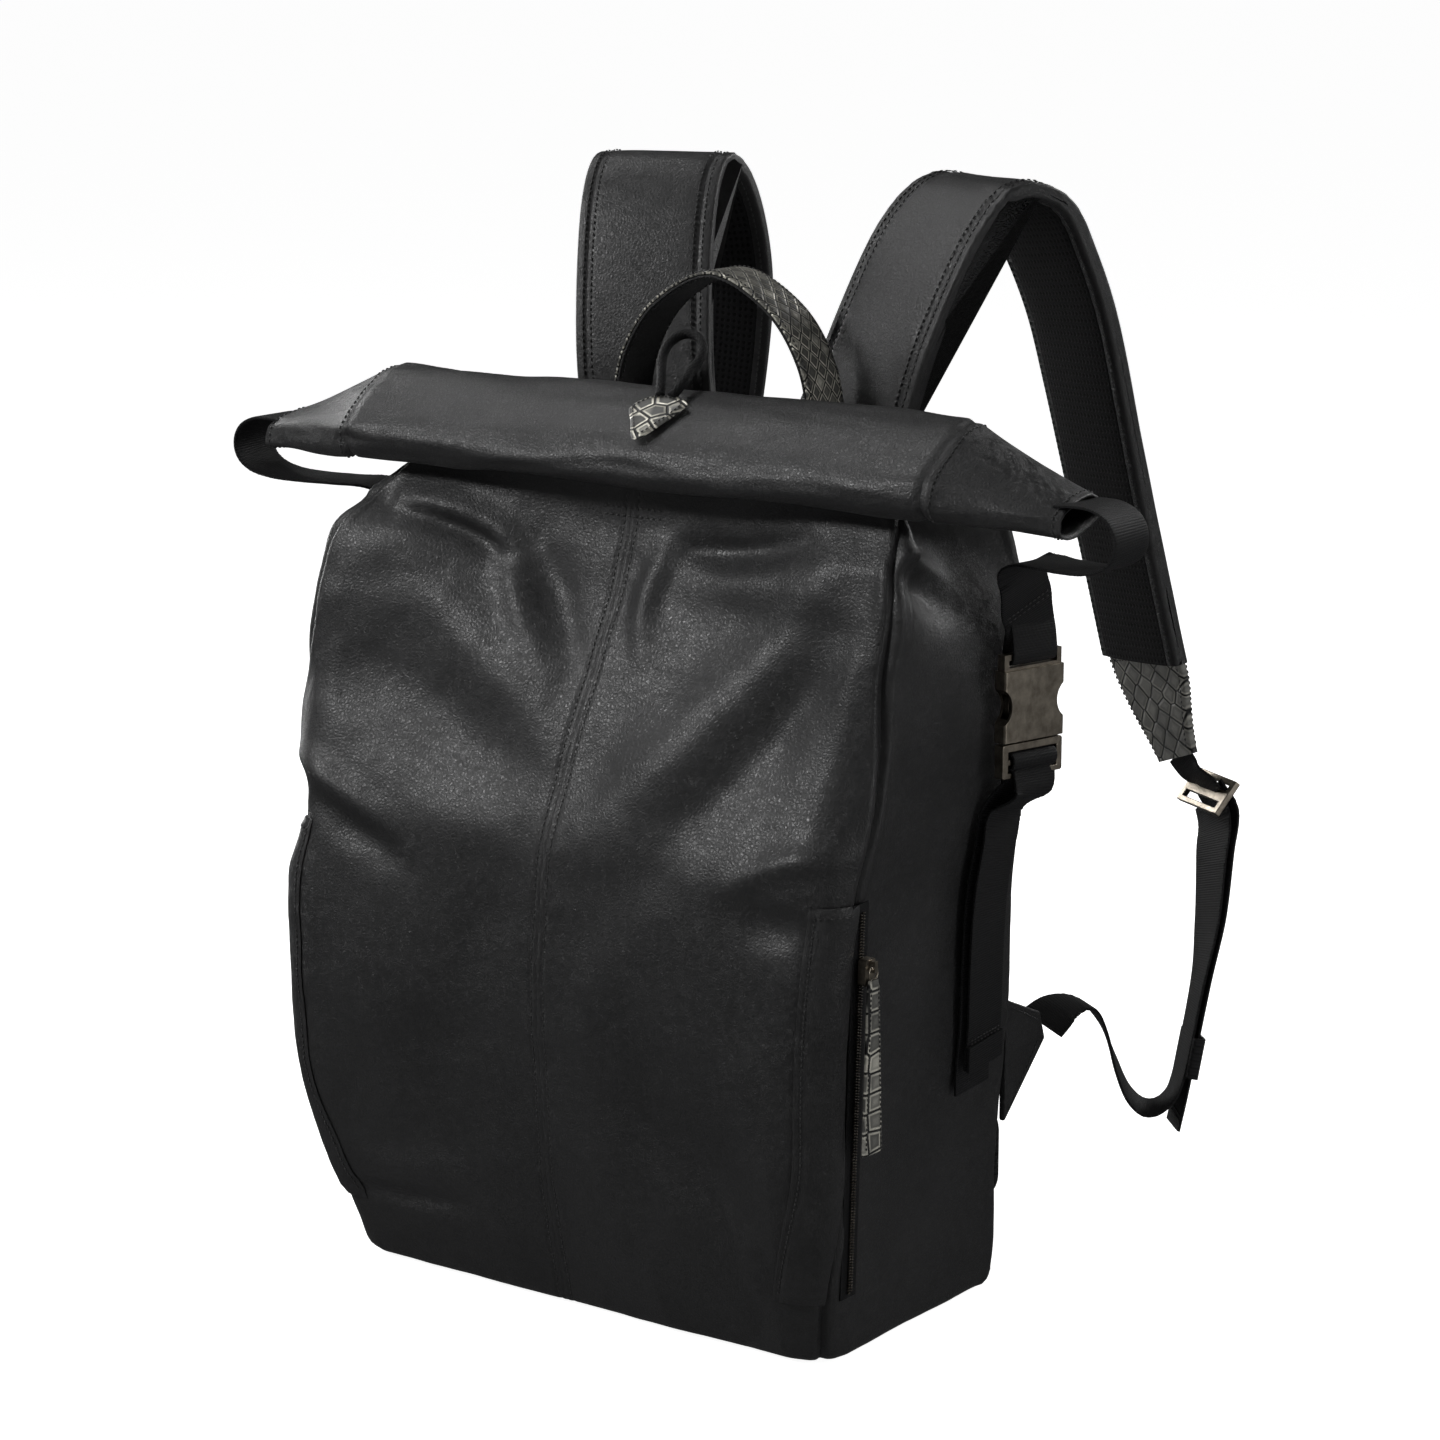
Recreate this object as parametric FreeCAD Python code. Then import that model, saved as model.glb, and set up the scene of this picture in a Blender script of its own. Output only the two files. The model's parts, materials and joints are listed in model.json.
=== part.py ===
"""Roll-top leather backpack, modelled in millimetres as an assembly of separate solids.

Frame: origin on the floor under the middle of the bag. +Z is up, -Y is the front of the bag,
+Y is the wearer's side with the shoulder straps, and +X is the right side seen from the front.
"""
import FreeCAD
import Part
import math
import os
from FreeCAD import Rotation, Vector

# ---- bag body ------------------------------------------------------------------------------
base_width = 300.0          # across the bag at the floor
mouth_width = 340.0         # across the bag at the mouth
mouth_height = 392.0        # front edge of the mouth above the floor
back_height = mouth_height + 10.0   # top of the back panel
yoke_height = mouth_height + 22.0   # front edge of the yoke, under the roll
yoke_front_y = 24.0
back_y = 75.0               # outer face of the back panel
# belly of the front panel: share of mouth_height, and how far it stands in front of the frame's XZ plane
front_belly = [(0.0, 70.0), (0.03, 78.0), (0.15, 88.0), (0.285, 94.5), (0.42, 97.5), (0.595, 91.0),
               (0.715, 71.0), (0.79, 55.0), (0.90, 33.0), (1.0, 18.0)]
leather = 2.5               # wall of the outer panels
lining_wall = 1.0
lining_gap = 8.0            # room between front panel and lining, which holds the pocket bags
small_gap = 0.4             # clearance between neighbouring layers
board_thickness = 3.0

# ---- back padding and sleeve ------------------------------------------------------------------
pad_thickness = 13.0
pad_margin = 6.0            # from the bag's side edge to the pad
pad_channel = 36.0          # air channel between the two upper pads
pad_top = back_height - 18.0
pad_split = 104.0           # height of the gap over the lumbar pad
pad_foot = 40.0
pad_gap = 9.0
sleeve_room = 20.0          # room for a laptop
sleeve_height = 290.0
sleeve_width = 270.0
sleeve_wall = 3.0

# ---- side pockets at the front corners ----------------------------------------------------------
zip_foot = 34.0
zip_head = 232.0
placket_width = 25.0
placket_thickness = 3.4
tape_width = 13.0
tape_thickness = 1.0
coil_width = 4.0
coil_height = 1.4
zip_line_y = (-60.0, -66.0)  # middle of the zip at its foot and at its head
pocket_width = 115.0
slider_top = 206.0          # upper end of the slider when the zip is closed
slider_length = 13.0
slider_width = 8.0
slider_height = 4.2
slider_travel = 150.0
ring_radius = 3.6
ring_wire = 0.9
puller_length = 84.0
puller_top_width = 9.0
puller_end_width = 16.0
puller_thickness = 2.6

# ---- rolled top -----------------------------------------------------------------------------
roll_y = -13.0
roll_z = mouth_height + 39.0
roll_depth = 64.0
roll_height = 28.0
roll_tilt = 34.0            # degrees that the flat roll leans down towards the front
roll_middle = 350.0         # length between the two end seams
roll_length = 486.0         # leather end to leather end
roll_end_depth = 38.0
roll_end_height = 17.0
roll_end_y = roll_y + 4.5
roll_end_z = roll_z - 16.5
roll_end_tilt = 12.0
roll_wall = 3.0
stiffener_size = (340.0, 34.0, 3.0)
neck_depth = 22.0
neck_drop = 34.0            # how far the collar reaches down inside the mouth
neck_wall = 2.0

# ---- webbing and side-release buckles -----------------------------------------------------------
web_width = 30.0
web_thickness = 1.6
web_slot = 3.6              # slots in the metal pieces, for two layers of webbing
web_end_gap = 6.0           # from the end of a web to the metal bar that it is looped round
buckle_x = max(base_width, mouth_width) / 2 + 11.0   # clear of the side panel while the roll rises
buckle_y = 50.0
buckle_turn = 14.0          # degrees that the buckle faces towards the front
buckle_width = web_width + 10.0
buckle_thickness = 8.0
plug_foot = 275.0           # lowest point of the plug's frame
plug_frame = 17.0
socket_gap = 1.0
socket_body = 35.0
socket_bar = 8.0
prong_travel = 2.5
plug_travel = 22.0
tail_foot = 128.0

# ---- handle, shoulder straps, anchors -------------------------------------------------------------
handle_half = 58.0
handle_top = back_height + 107.0
handle_y = 51.0
handle_width = 30.0
handle_thickness = 4.0
strap_width = 75.0
strap_thickness = 11.0
strap_end_width = 42.0
strap_end_thickness = 5.0
anchor_tip = (152.0, 113.0, 131.0)
anchor_top_z = 151.0
anchor_foot_z = 87.0
anchor_thickness = 4.0

# ---- cord puller on the roll -----------------------------------------------------------------------
cord_diameter = 5.0
# the loop's route from the roll's axis: out of the tab, up and back over the roll, and into the tab again
cord_points = [(5.5, 0.7, 21.2), (0.0, 9.5, 28.8), (-9.0, 21.0, 35.4), (-12.0, 30.0, 41.8),
               (-11.0, 38.0, 46.0), (-4.8, 41.0, 47.2), (4.0, 38.0, 44.1), (10.0, 30.0, 38.0),
               (10.5, 20.0, 31.8), (14.0, 8.5, 27.2), (12.5, 0.9, 21.3)]
tab_thickness = 3.2
# the tab's outline on the face of the roll: across, and up the slope from the face's middle
tab_outline = [(-14.5, 3.0), (-7.0, 13.0), (3.0, 14.5), (16.0, 10.5), (17.0, 6.0), (4.0, -18.5), (0.0, -18.5)]
tab_x = 7.0


def save(name, *solids):
    """Writes the solids of one node as parts/NAME.step."""
    shape = solids[0] if len(solids) == 1 else Part.makeCompound(list(solids))
    for solid in shape.Solids:
        if not solid.isValid() or solid.Volume <= 0:
            raise ValueError(f"{name} holds a bad solid")
    shape.exportStep(f"parts/{name}.step")


def box(low, high):
    return Part.makeBox(high[0] - low[0], high[1] - low[1], high[2] - low[2], Vector(*low))


def mirrored(shape):
    """The same piece on the left side of the bag."""
    return shape.mirror(Vector(0, 0, 0), Vector(1, 0, 0))


def save_pair(name, shape):
    """Right piece as made, left piece as its mirror image."""
    save(f"{name}_right", shape)
    save(f"{name}_left", mirrored(shape))


def side_x(z, inset=0.0):
    """Outer face of the right side panel at height z."""
    return base_width / 2 + (mouth_width - base_width) / 2 * z / mouth_height - inset


def front_curve(inset):
    points = [Vector(0, inset - reach, share * mouth_height) for share, reach in front_belly]
    curve = Part.BSplineCurve()
    curve.interpolate(points)
    return curve, points


def roof_z(y):
    """Height of the mouth's slope, and behind it of the yoke, at depth y."""
    lip_y = -front_belly[-1][1]
    if y < yoke_front_y:
        return mouth_height + (yoke_height - mouth_height) * (y - lip_y) / (yoke_front_y - lip_y)
    return yoke_height + (back_height - yoke_height) * (y - yoke_front_y) / (back_y - yoke_front_y)


def form(front=0.0, back=0.0, side=0.0, base=0.0, top=0.0):
    """The bag's closed outer form, moved inwards by each of the given amounts."""
    curve, points = front_curve(front)
    rear, lip = back_y - back, points[-1]
    mouth = [Vector(0, y, roof_z(y) - top) for y in (lip.y, yoke_front_y, rear)]
    if front or top:
        mouth.insert(0, lip)
    else:
        mouth[0] = lip
    corners = mouth + [Vector(0, rear, 0), points[0]]
    edges = [curve.toShape()] + [Part.makeLine(a, b) for a, b in zip(corners, corners[1:])]
    wide = max(base_width, mouth_width)
    profile = Part.Face(Part.Wire(edges))
    solid = profile.extrude(Vector(2 * wide, 0, 0))
    solid.translate(Vector(-wide, 0, 0))
    reach = 1000.0
    top_z = mouth_height + reach
    outline = [Vector(side_x(-reach, side), -reach, -reach), Vector(side_x(top_z, side), -reach, top_z),
               Vector(-side_x(top_z, side), -reach, top_z), Vector(-side_x(-reach, side), -reach, -reach)]
    wedge = Part.Face(Part.makePolygon(outline + outline[:1])).extrude(Vector(0, 2 * reach, 0))
    solid = solid.common(wedge)
    if base:
        solid = solid.cut(box((-reach, -reach, -reach), (reach, reach, base)))
    return solid


def stadium(depth, height, y, z, x, tilt=0.0):
    """A wire like a flattened circle in the YZ plane, leaning down towards the front by tilt degrees."""
    r = height / 2
    half = depth / 2 - r
    a, b = Vector(x, y - half, z - r), Vector(x, y + half, z - r)
    c, d = Vector(x, y + half, z + r), Vector(x, y - half, z + r)
    right = Part.Arc(b, Vector(x, y + half + r, z), c).toShape()
    left = Part.Arc(d, Vector(x, y - half - r, z), a).toShape()
    wire = Part.Wire([Part.makeLine(a, b), right, Part.makeLine(c, d), left])
    wire.rotate(Vector(x, y, z), Vector(1, 0, 0), tilt)
    return wire


def stations(points):
    """Each point with the direction of travel there."""
    found = []
    for i, p in enumerate(points):
        before = points[max(i - 1, 0)]
        after = points[min(i + 1, len(points) - 1)]
        found.append((p, (after - before).normalize()))
    return found


def ribbon(points, widths, across, thickness):
    """A flat band along points. widths and across hold one width and one width direction for each point."""
    rings = []
    for (p, along), width, side in zip(stations(points), widths, across):
        side = (side - along * side.dot(along)).normalize()
        up = along.cross(side)
        w, t = side * (width / 2), up * (thickness / 2)
        rings.append([p - w - t, p + w - t, p + w + t, p - w + t])
    faces = [Part.Face(Part.makePolygon(ring + ring[:1])) for ring in (rings[0], rings[-1])]
    for low, high in zip(rings, rings[1:]):
        for i, j in ((0, 1), (1, 2), (2, 3), (3, 0)):
            edges = (Part.makeLine(low[i], low[j]), Part.makeLine(high[i], high[j]))
            faces.append(Part.makeRuledSurface(*edges))
    shell = Part.makeShell(faces)
    shell.sewShape()
    band = Part.makeSolid(shell)
    if band.Volume < 0:
        band.reverse()
    return band


def yaw(degrees):
    """Width direction of a strap that is turned by some degrees from +X towards the front."""
    return Vector(math.cos(math.radians(degrees)), -math.sin(math.radians(degrees)), 0)


def rounded_tube(points, radius):
    """A round tube along straight runs joined by tangent arcs, each as large as its two runs allow."""
    edges, start, radii = [], points[0], []
    for a, b, c in zip(points, points[1:], points[2:]):
        into, out = (b - a), (c - b)
        turn = into.getAngle(out)
        setback = 0.45 * min(into.Length, out.Length)
        radii.append(setback / math.tan(turn / 2))
        p, q = b - into.normalize() * setback, b + out.normalize() * setback
        middle = (p + q) / 2
        centre_way = (middle - b).normalize()
        centre = b + centre_way * (radii[-1] / math.cos(turn / 2))
        edges.append(Part.makeLine(start, p))
        edges.append(Part.Arc(p, centre - centre_way * radii[-1], q).toShape())
        start = q
    edges.append(Part.makeLine(start, points[-1]))
    path = Part.Wire(edges)
    section = Part.Wire(Part.makeCircle(radius, points[0], points[1] - points[0]))
    tube = path.makePipeShell([section], True, False)
    print("cord: length %.1f, smallest radius %.1f, volume ratio %.4f"
          % (path.Length, min(radii), tube.Volume / (math.pi * radius ** 2 * path.Length)))
    return tube


# ---- bag body ------------------------------------------------------------------------------
def outer_panels():
    inner_sides = form(side=leather)
    plates = form().cut(inner_sides)
    for plate in plates.Solids:
        save("side_panel_right" if plate.CenterOfMass.x > 0 else "side_panel_left", plate)
    save("base_panel", inner_sides.cut(form(side=leather, base=leather)))
    open_form = form(side=leather, base=leather)
    wide = 400.0
    front = open_form.cut(form(front=leather, side=leather, base=leather))
    front = front.common(box((-wide, -wide, 0), (wide, yoke_front_y - leather, 2 * mouth_height)))
    save("front_panel_right", front.common(box((0, -wide, 0), (wide, wide, 2 * mouth_height))))
    save("front_panel_left", front.common(box((-wide, -wide, 0), (0, wide, 2 * mouth_height))))
    shell = form(front=leather, side=leather, base=leather)
    back = shell.cut(form(front=leather, back=leather, side=leather, base=leather))
    save("back_panel", back)
    core = form(front=leather, back=leather, side=leather, base=leather)
    roof = core.cut(form(front=leather, back=leather, side=leather, base=leather, top=leather))
    save("top_yoke", roof.common(box((-wide, yoke_front_y, 0), (wide, wide, 2 * mouth_height))))


def inner_layers():
    gap = leather + small_gap
    board = form(front=gap, back=gap, side=gap, base=gap)
    wide = 400.0
    save("base_board", board.common(box((-wide, -wide, 0), (wide, wide, gap + board_thickness))))
    board_front = back_y - gap - board_thickness
    rear = form(front=gap, back=gap, side=gap, base=gap + board_thickness + small_gap, top=gap)
    save("back_board", rear.common(box((-wide, board_front, 0), (wide, wide, back_height))))
    inset = dict(front=leather + lining_gap, back=back_y - board_front + small_gap, side=gap,
                 base=gap + board_thickness + small_gap)
    thinner = {key: value + lining_wall for key, value in inset.items()}
    bag = form(**inset).cut(form(**thinner))
    save("lining", bag.common(box((-wide, -wide, 0), (wide, wide, mouth_height - neck_drop - 10.0))))
    return thinner


def sleeve(inset):
    """Open-topped pocket for a laptop, sewn to the lining's back: front wall, two sides and a foot."""
    rear = back_y - inset["back"] - small_gap
    front = rear - sleeve_room - sleeve_wall
    foot = inset["base"] + small_gap
    half = sleeve_width / 2
    outer = box((-half, front, foot), (half, rear, foot + sleeve_height))
    room = box((-half + sleeve_wall, front + sleeve_wall, foot + sleeve_wall),
               (half - sleeve_wall, rear + 1, foot + sleeve_height + 1))
    save("laptop_sleeve", outer.cut(room))


pad_rows = [(pad_split, pad_top), (pad_foot, pad_split - pad_gap)]     # height of each row of pads


def pad_half(low, high):
    """Half the width of the pads between two heights, inside the side panels all the way."""
    return min(side_x(low), side_x(high)) - pad_margin


def back_pads():
    front = back_y
    rear = back_y + pad_thickness
    solids = []
    for low, high in pad_rows:
        half = pad_half(low, high)
        inner = pad_channel / 2 if low == pad_split else 0.0
        spans = [(inner, half), (-half, -inner)] if inner else [(-half, half)]
        for left, right in spans:
            pad = box((left, front, low), (right, rear, high))
            rims = [e for e in pad.Edges if e.CenterOfMass.y > rear - small_gap]
            solids.append(pad.makeFillet(pad_thickness * 0.5, rims))
    save("back_pads", *solids)


# ---- front corner pockets ---------------------------------------------------------------------
def front_strip(outer, inner, x_low, x_high, z_low, z_high):
    """A layer that follows the front panel between two depths and two sloping lines beside the corner."""
    layer = form(front=outer).cut(form(front=inner))
    top, foot = side_x(z_high), side_x(z_low)
    ring = [Vector(foot - x_high, -300, z_low), Vector(foot - x_low, -300, z_low),
            Vector(top - x_low, -300, z_high), Vector(top - x_high, -300, z_high)]
    window = Part.Face(Part.makePolygon(ring + ring[:1])).extrude(Vector(0, 300 + yoke_front_y - 10, 0))
    return layer.common(window)


def pockets():
    flap = front_strip(-placket_thickness, 0.0, 0.5, placket_width, zip_foot, zip_head)
    save_pair("placket", flap)
    bag = front_strip(leather + small_gap, leather + lining_gap - small_gap, leather + small_gap,
                      pocket_width, zip_foot, zip_head)
    save_pair("pocket_bag", bag)


def zip_y(z):
    """Depth of the zip's middle at height z: the zip is straight."""
    foot_y, head_y = zip_line_y
    return foot_y + (head_y - foot_y) * (z - zip_foot) / (zip_head - zip_foot)


def side_strip(z_low, z_high, width, lift, thickness):
    """A strip that lies on the right side panel along the zip's line."""
    wires = []
    for z in (z_low, z_high):
        y, x = zip_y(z), side_x(z) + lift
        ring = [Vector(x, y - width / 2, z), Vector(x, y + width / 2, z),
                Vector(x + thickness, y + width / 2, z), Vector(x + thickness, y - width / 2, z)]
        wires.append(Part.makePolygon(ring + ring[:1]))
    return Part.makeLoft(wires, True, True)


def zips():
    tape = side_strip(zip_foot, zip_head, tape_width, 0.0, tape_thickness)
    coil = side_strip(zip_foot + 2, zip_head - 2, coil_width, tape_thickness, coil_height)
    save("zip_right", tape, coil)
    save("zip_left", mirrored(tape), mirrored(coil))


def zip_frame():
    """Where the slider is when the zip is closed: its centre on the coil."""
    z = slider_top - slider_length / 2
    return Vector(side_x(z) + tape_thickness + coil_height + small_gap, zip_y(z), z)


def lean(shape, about):
    """Turns a piece made upright so that it lies along the sloping side panel."""
    slope = math.degrees(math.atan((mouth_width - base_width) / 2 / mouth_height))
    shape.rotate(about, Vector(0, 1, 0), slope)
    return shape


def zip_pulls():
    seat = zip_frame()
    w, h = slider_width / 2, slider_height
    body = box((seat.x, seat.y - w, seat.z - slider_length / 2),
               (seat.x + h, seat.y + w, seat.z + slider_length / 2))
    body = body.makeFillet(1.6, [e for e in body.Edges if abs(e.CenterOfMass.x - seat.x - h / 2) < 0.1])
    eye = ring_radius * 0.55
    bridge = box((seat.x + h, seat.y - 1.2, seat.z + 0.5), (seat.x + h + 3.4, seat.y + 1.2, seat.z + 6.0))
    hole = Part.makeCylinder(eye - 0.6, 4, Vector(seat.x + h + 1.7, seat.y - 2, seat.z + 3.2),
                             Vector(0, 1, 0))
    save_pair("zip_slider", lean(body.fuse(bridge.cut(hole)).removeSplitter(), seat))
    pivot = Vector(seat.x + h + 1.7, seat.y, seat.z + 3.2)
    # the wire passes through the bridge's eye, so the ring hangs from the pivot
    centre = pivot - Vector(0, 0, ring_radius)
    ring = Part.makeTorus(ring_radius, ring_wire / 2, centre, Vector(1, 0, 0))
    top = centre.z - ring_radius - 0.6
    x0 = pivot.x - puller_thickness / 2
    a, b = puller_top_width / 2, puller_end_width / 2
    outline = [Vector(x0, seat.y - a, top), Vector(x0, seat.y + a, top),
               Vector(x0, seat.y + b, top - puller_length), Vector(x0, seat.y - b, top - puller_length)]
    leaf = Part.Face(Part.makePolygon(outline + outline[:1])).extrude(Vector(puller_thickness, 0, 0))
    neck = box((x0, seat.y - a, top), (x0 + puller_thickness, seat.y + a, top + 1.2))
    save_pair("puller", leaf.fuse(neck).removeSplitter().cut(ring))
    save_pair("puller_ring", ring)
    return pivot


# ---- rolled top -----------------------------------------------------------------------------
def roll():
    half, tip = roll_middle / 2, roll_length / 2
    wall = roll_wall

    def drum(shrink, x0, x1):
        wire = stadium(roll_depth - 2 * shrink, roll_height - 2 * shrink, roll_y, roll_z, x0, roll_tilt)
        return Part.Face(wire).extrude(Vector(x1 - x0, 0, 0))

    def taper(shrink):
        big = stadium(roll_depth - 2 * shrink, roll_height - 2 * shrink, roll_y, roll_z,
                      half + small_gap, roll_tilt)
        small = stadium(roll_end_depth - 2 * shrink, roll_end_height - 2 * shrink, roll_end_y,
                        roll_end_z, tip, roll_end_tilt)
        return Part.makeLoft([big, small], True, True)

    save("roll_cover", drum(0.0, -half, half).cut(drum(wall, -half, half)))
    save_pair("roll_end", taper(0.0).cut(taper(wall)))
    packed = wall + small_gap
    turn = drum(packed, 2 - half, half - 2).cut(drum(packed + neck_wall, -half, half))
    lip_y = -front_belly[-1][1]
    side_gap = leather + 3 * small_gap
    plates = []
    for y in (lip_y + leather + 2 * small_gap, yoke_front_y - leather - neck_wall):
        foot = mouth_height - neck_drop
        x = side_x(foot, side_gap)
        plates.append(box((-x, y, foot), (x, y + neck_wall, mouth_height - small_gap)))
    save("wound_collar", turn, *plates)
    length, depth, thick = stiffener_size
    board = box((-length / 2, roll_y - depth / 2, roll_z - thick / 2),
                (length / 2, roll_y + depth / 2, roll_z + thick / 2))
    board.rotate(Vector(0, roll_y, roll_z), Vector(1, 0, 0), roll_tilt)
    save("roll_stiffener", board)


def roll_webs():
    """Webbing that leaves the end of the roll, turns under it and hangs down to the buckle's socket."""
    bar_z = plug_foot + plug_frame + socket_gap + socket_body + socket_bar
    end_x = roll_length / 2
    turn = [(1, 7), (9, 6.5), (17, 5), (25, -1.5), (27, -9.5), (22, -18.5), (12, -24)]
    route = [Vector(end_x + out, roll_end_y + 1.5, roll_end_z + rise) for out, rise in turn]
    under = [(-18, 13.5, -26.5), (-40, 24.5, -26.5), (-51, 31.0, -29.5)]
    route += [Vector(end_x + x, roll_end_y + y, roll_end_z + z) for x, y, z in under]
    # the last run hangs straight over the bar, so the end is level
    drop = [(5.5, -18.0, 35.0), (2.0, -7.0, 24.0), (0.5, -1.0, 12.0), (0.5, -1.0, 0.0)]
    route += [Vector(buckle_x + x, buckle_y + y, bar_z + web_end_gap + z) for x, y, z in drop]
    turned = Vector(math.sin(math.radians(buckle_turn)), math.cos(math.radians(buckle_turn)), 0)
    across = [Vector(0, 1, 0)] * (len(route) - 3) + [turned] * 3
    save_pair("roll_web", ribbon(route, [web_width] * len(route), across, web_thickness))


def placed(shape):
    """Moves a buckle piece from its own axes (x out of its face, y across, z up) to the bag's right side."""
    shape.rotate(Vector(0, 0, 0), Vector(0, 0, 1), -buckle_turn)
    shape.translate(Vector(buckle_x, buckle_y, 0))
    return shape


def buckles():
    t, w = buckle_thickness / 2, buckle_width / 2
    foot = plug_foot + plug_frame + socket_gap
    top = foot + socket_body
    body = box((-t, -w, foot), (t, w, top))
    upright = [e for e in body.Edges if e.Length > socket_body - 1 and abs(e.tangentAt(0).z) > 0.9]
    body = body.makeFillet(1.5, upright)
    cavity = box((-2.6, -w + 3.0, foot - 1), (2.6, w - 3.0, top - 4.0))
    body = body.cut(cavity)
    notch_z = foot + 0.5 * socket_body
    for side in (-1, 1):
        notch = Part.makeCylinder(10.0, 2 * t + 2, Vector(-t - 1, side * (w + 5.0), notch_z), Vector(1, 0, 0))
        body = body.cut(notch)
    frame = box((-t * 0.6, -w + 1, top), (t * 0.6, w - 1, top + socket_bar))
    frame = frame.cut(box((-t, -web_width / 2 - 1, top + 1.5), (t, web_width / 2 + 1, top + 1.5 + web_slot)))
    socket = body.fuse(frame).removeSplitter()
    save_pair("buckle_socket", placed(socket))

    plug_t = 3.0
    plate = box((-plug_t, -w, plug_foot), (plug_t, w, plug_foot + plug_frame))
    plate = plate.makeFillet(1.4, [e for e in plate.Edges if abs(e.tangentAt(0).x) > 0.9])
    for low in (3.0, 9.5):
        plate = plate.cut(box((-5, -web_width / 2 - 1, plug_foot + low),
                              (5, web_width / 2 + 1, plug_foot + low + web_slot)))
    tongue_top = foot + socket_body - 8.0
    tongue = box((-1.6, -3.0, plug_foot + plug_frame), (1.6, 3.0, tongue_top))
    save_pair("buckle_plug", placed(plate.fuse(tongue).removeSplitter()))

    arm_foot = plug_foot + plug_frame + 0.1
    arm = box((-2.0, 9.5, arm_foot), (2.0, 12.5, tongue_top))
    thumb = Part.makeCylinder(9.0, 4.0, Vector(-2.0, w - 4.2 - 9.0, notch_z), Vector(1, 0, 0))
    thumb = thumb.common(box((-3, 9.5, arm_foot + 4), (3, w, tongue_top)))
    prong = arm.fuse(thumb).removeSplitter()
    other = prong.mirror(Vector(0, 0, 0), Vector(0, 1, 0))
    save_pair("prong_rear", placed(prong))
    save_pair("prong_front", placed(other))


def lower_webs():
    """The anchored webbing on the side panel, and the loose tail that hangs in front of it from the plug."""
    z_top = plug_foot - plug_travel - 4.0
    clear = 2.2
    sewn = web_thickness / 2 + 0.1
    places = [(tail_foot - 12.0, 42.0, sewn), (tail_foot + 6.0, 41.0, sewn), (150.0, 39.5, clear),
              (170.0, 38.0, clear), (210.0, 37.0, clear), (z_top, 44.0, clear)]
    route = [Vector(side_x(z) + lift, y, z) for z, y, lift in places]
    across = [Vector(0, 1, 0)] * len(route)
    save_pair("lower_web", ribbon(route, [web_width] * len(route), across, web_thickness))
    loose = [(tail_foot, 42.0, 3.5), (150.0, 40.0, 3.8), (190.0, 37.0, 4.2), (225.0, 39.0, 5.0),
             (244.0, 44.0, 7.0)]
    tail = [Vector(side_x(z) + clear + lift, y, z) for z, y, lift in loose]
    tail += [Vector(buckle_x + 0.5, buckle_y, plug_foot - web_end_gap - drop) for drop in (8.0, 0.0)]
    turned = Vector(math.sin(math.radians(buckle_turn)), math.cos(math.radians(buckle_turn)), 0)
    across = [Vector(0, 1, 0)] * (len(tail) - 2) + [turned] * 2
    save_pair("tail_web", ribbon(tail, [web_width] * len(tail), across, web_thickness))


def side_patch():
    z_low, z_high, y_low, y_high = 174.0, 229.0, 27.0, 57.0
    ring = [Vector(side_x(z_low), y_low, z_low), Vector(side_x(z_low), y_high, z_low),
            Vector(side_x(z_high), y_high, z_high), Vector(side_x(z_high), y_low, z_high)]
    save("side_patch", Part.Face(Part.makePolygon(ring + ring[:1])).extrude(Vector(1.2, 0, 0)))


# ---- handle and straps ---------------------------------------------------------------------------
def handle_pivot_z():
    slope = math.atan((yoke_height - back_height) / (back_y - yoke_front_y))
    return roof_z(handle_y) + (handle_width / 2 + small_gap) / math.cos(slope)


def handle():
    """A flat strip bent into an arch, with round feet that turn just clear of the yoke."""
    foot = roof_z(handle_y)
    pivot_z = handle_pivot_z()
    half, top = handle_half, handle_top
    rise = top - foot

    def arch(offset):
        h = half - offset
        shoulder = Vector(h * 0.86, handle_y, foot + (rise - offset) * 0.62)
        crown = Vector(0, handle_y, foot + rise - offset)
        curve = Part.BSplineCurve()
        points = [Vector(h, handle_y, foot), shoulder, crown, Vector(-shoulder.x, handle_y, shoulder.z),
                  Vector(-h, handle_y, foot)]
        curve.interpolate(points)
        return curve.toShape(), points[0], points[-1]

    outer, a, b = arch(0.0)
    inner, c, d = arch(handle_thickness)
    face = Part.Face(Part.Wire([outer, Part.makeLine(b, d), inner.reversed(), Part.makeLine(c, a)]))
    band = face.extrude(Vector(0, handle_width, 0))
    band.translate(Vector(0, -handle_width / 2, 0))
    reach = 2 * half
    feet = Part.makeCylinder(handle_width / 2, 2 * reach, Vector(-reach, handle_y, pivot_z), Vector(1, 0, 0))
    upper = box((-reach, handle_y - handle_width, pivot_z), (reach, handle_y + handle_width, 2 * top))
    save("handle", band.common(feet.fuse(upper)).removeSplitter())


# x, y, height from the top of the back panel, and how many degrees the strap is turned to the front.
# The two straps fall differently: the left one stands closer to the middle and bends outwards lower down.
strap_routes = {
    "right": [((55, 76.5, 10), 6), ((57, 77, 26), 10), ((64.5, 78, 45), 15), ((76, 89, 88), 15),
              ((88, 103, 126), 15), ((97, 116, 143), 16), ((106, 130, 147), 18), ((116, 148, 134), 20),
              ((123, 157, 111), 23), ((131, 165, 84), 25), ((139, 177, 22), 27), ((151, 188, -44), 28),
              ((160, 195, -93), 28)],
    "left": [((66, 76.5, 10), 6), ((68, 77, 26), 10), ((74, 79, 50), 14), ((82, 90, 95), 15),
             ((90, 105, 130), 15), ((95, 118, 147), 16), ((97, 131, 151), 16), ((97, 147, 141), 16),
             ((97, 159, 116), 17), ((99, 167, 84), 18), ((113, 177, 22), 22), ((134, 187, -44), 26),
             ((158, 195, -93), 28)],
}
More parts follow.
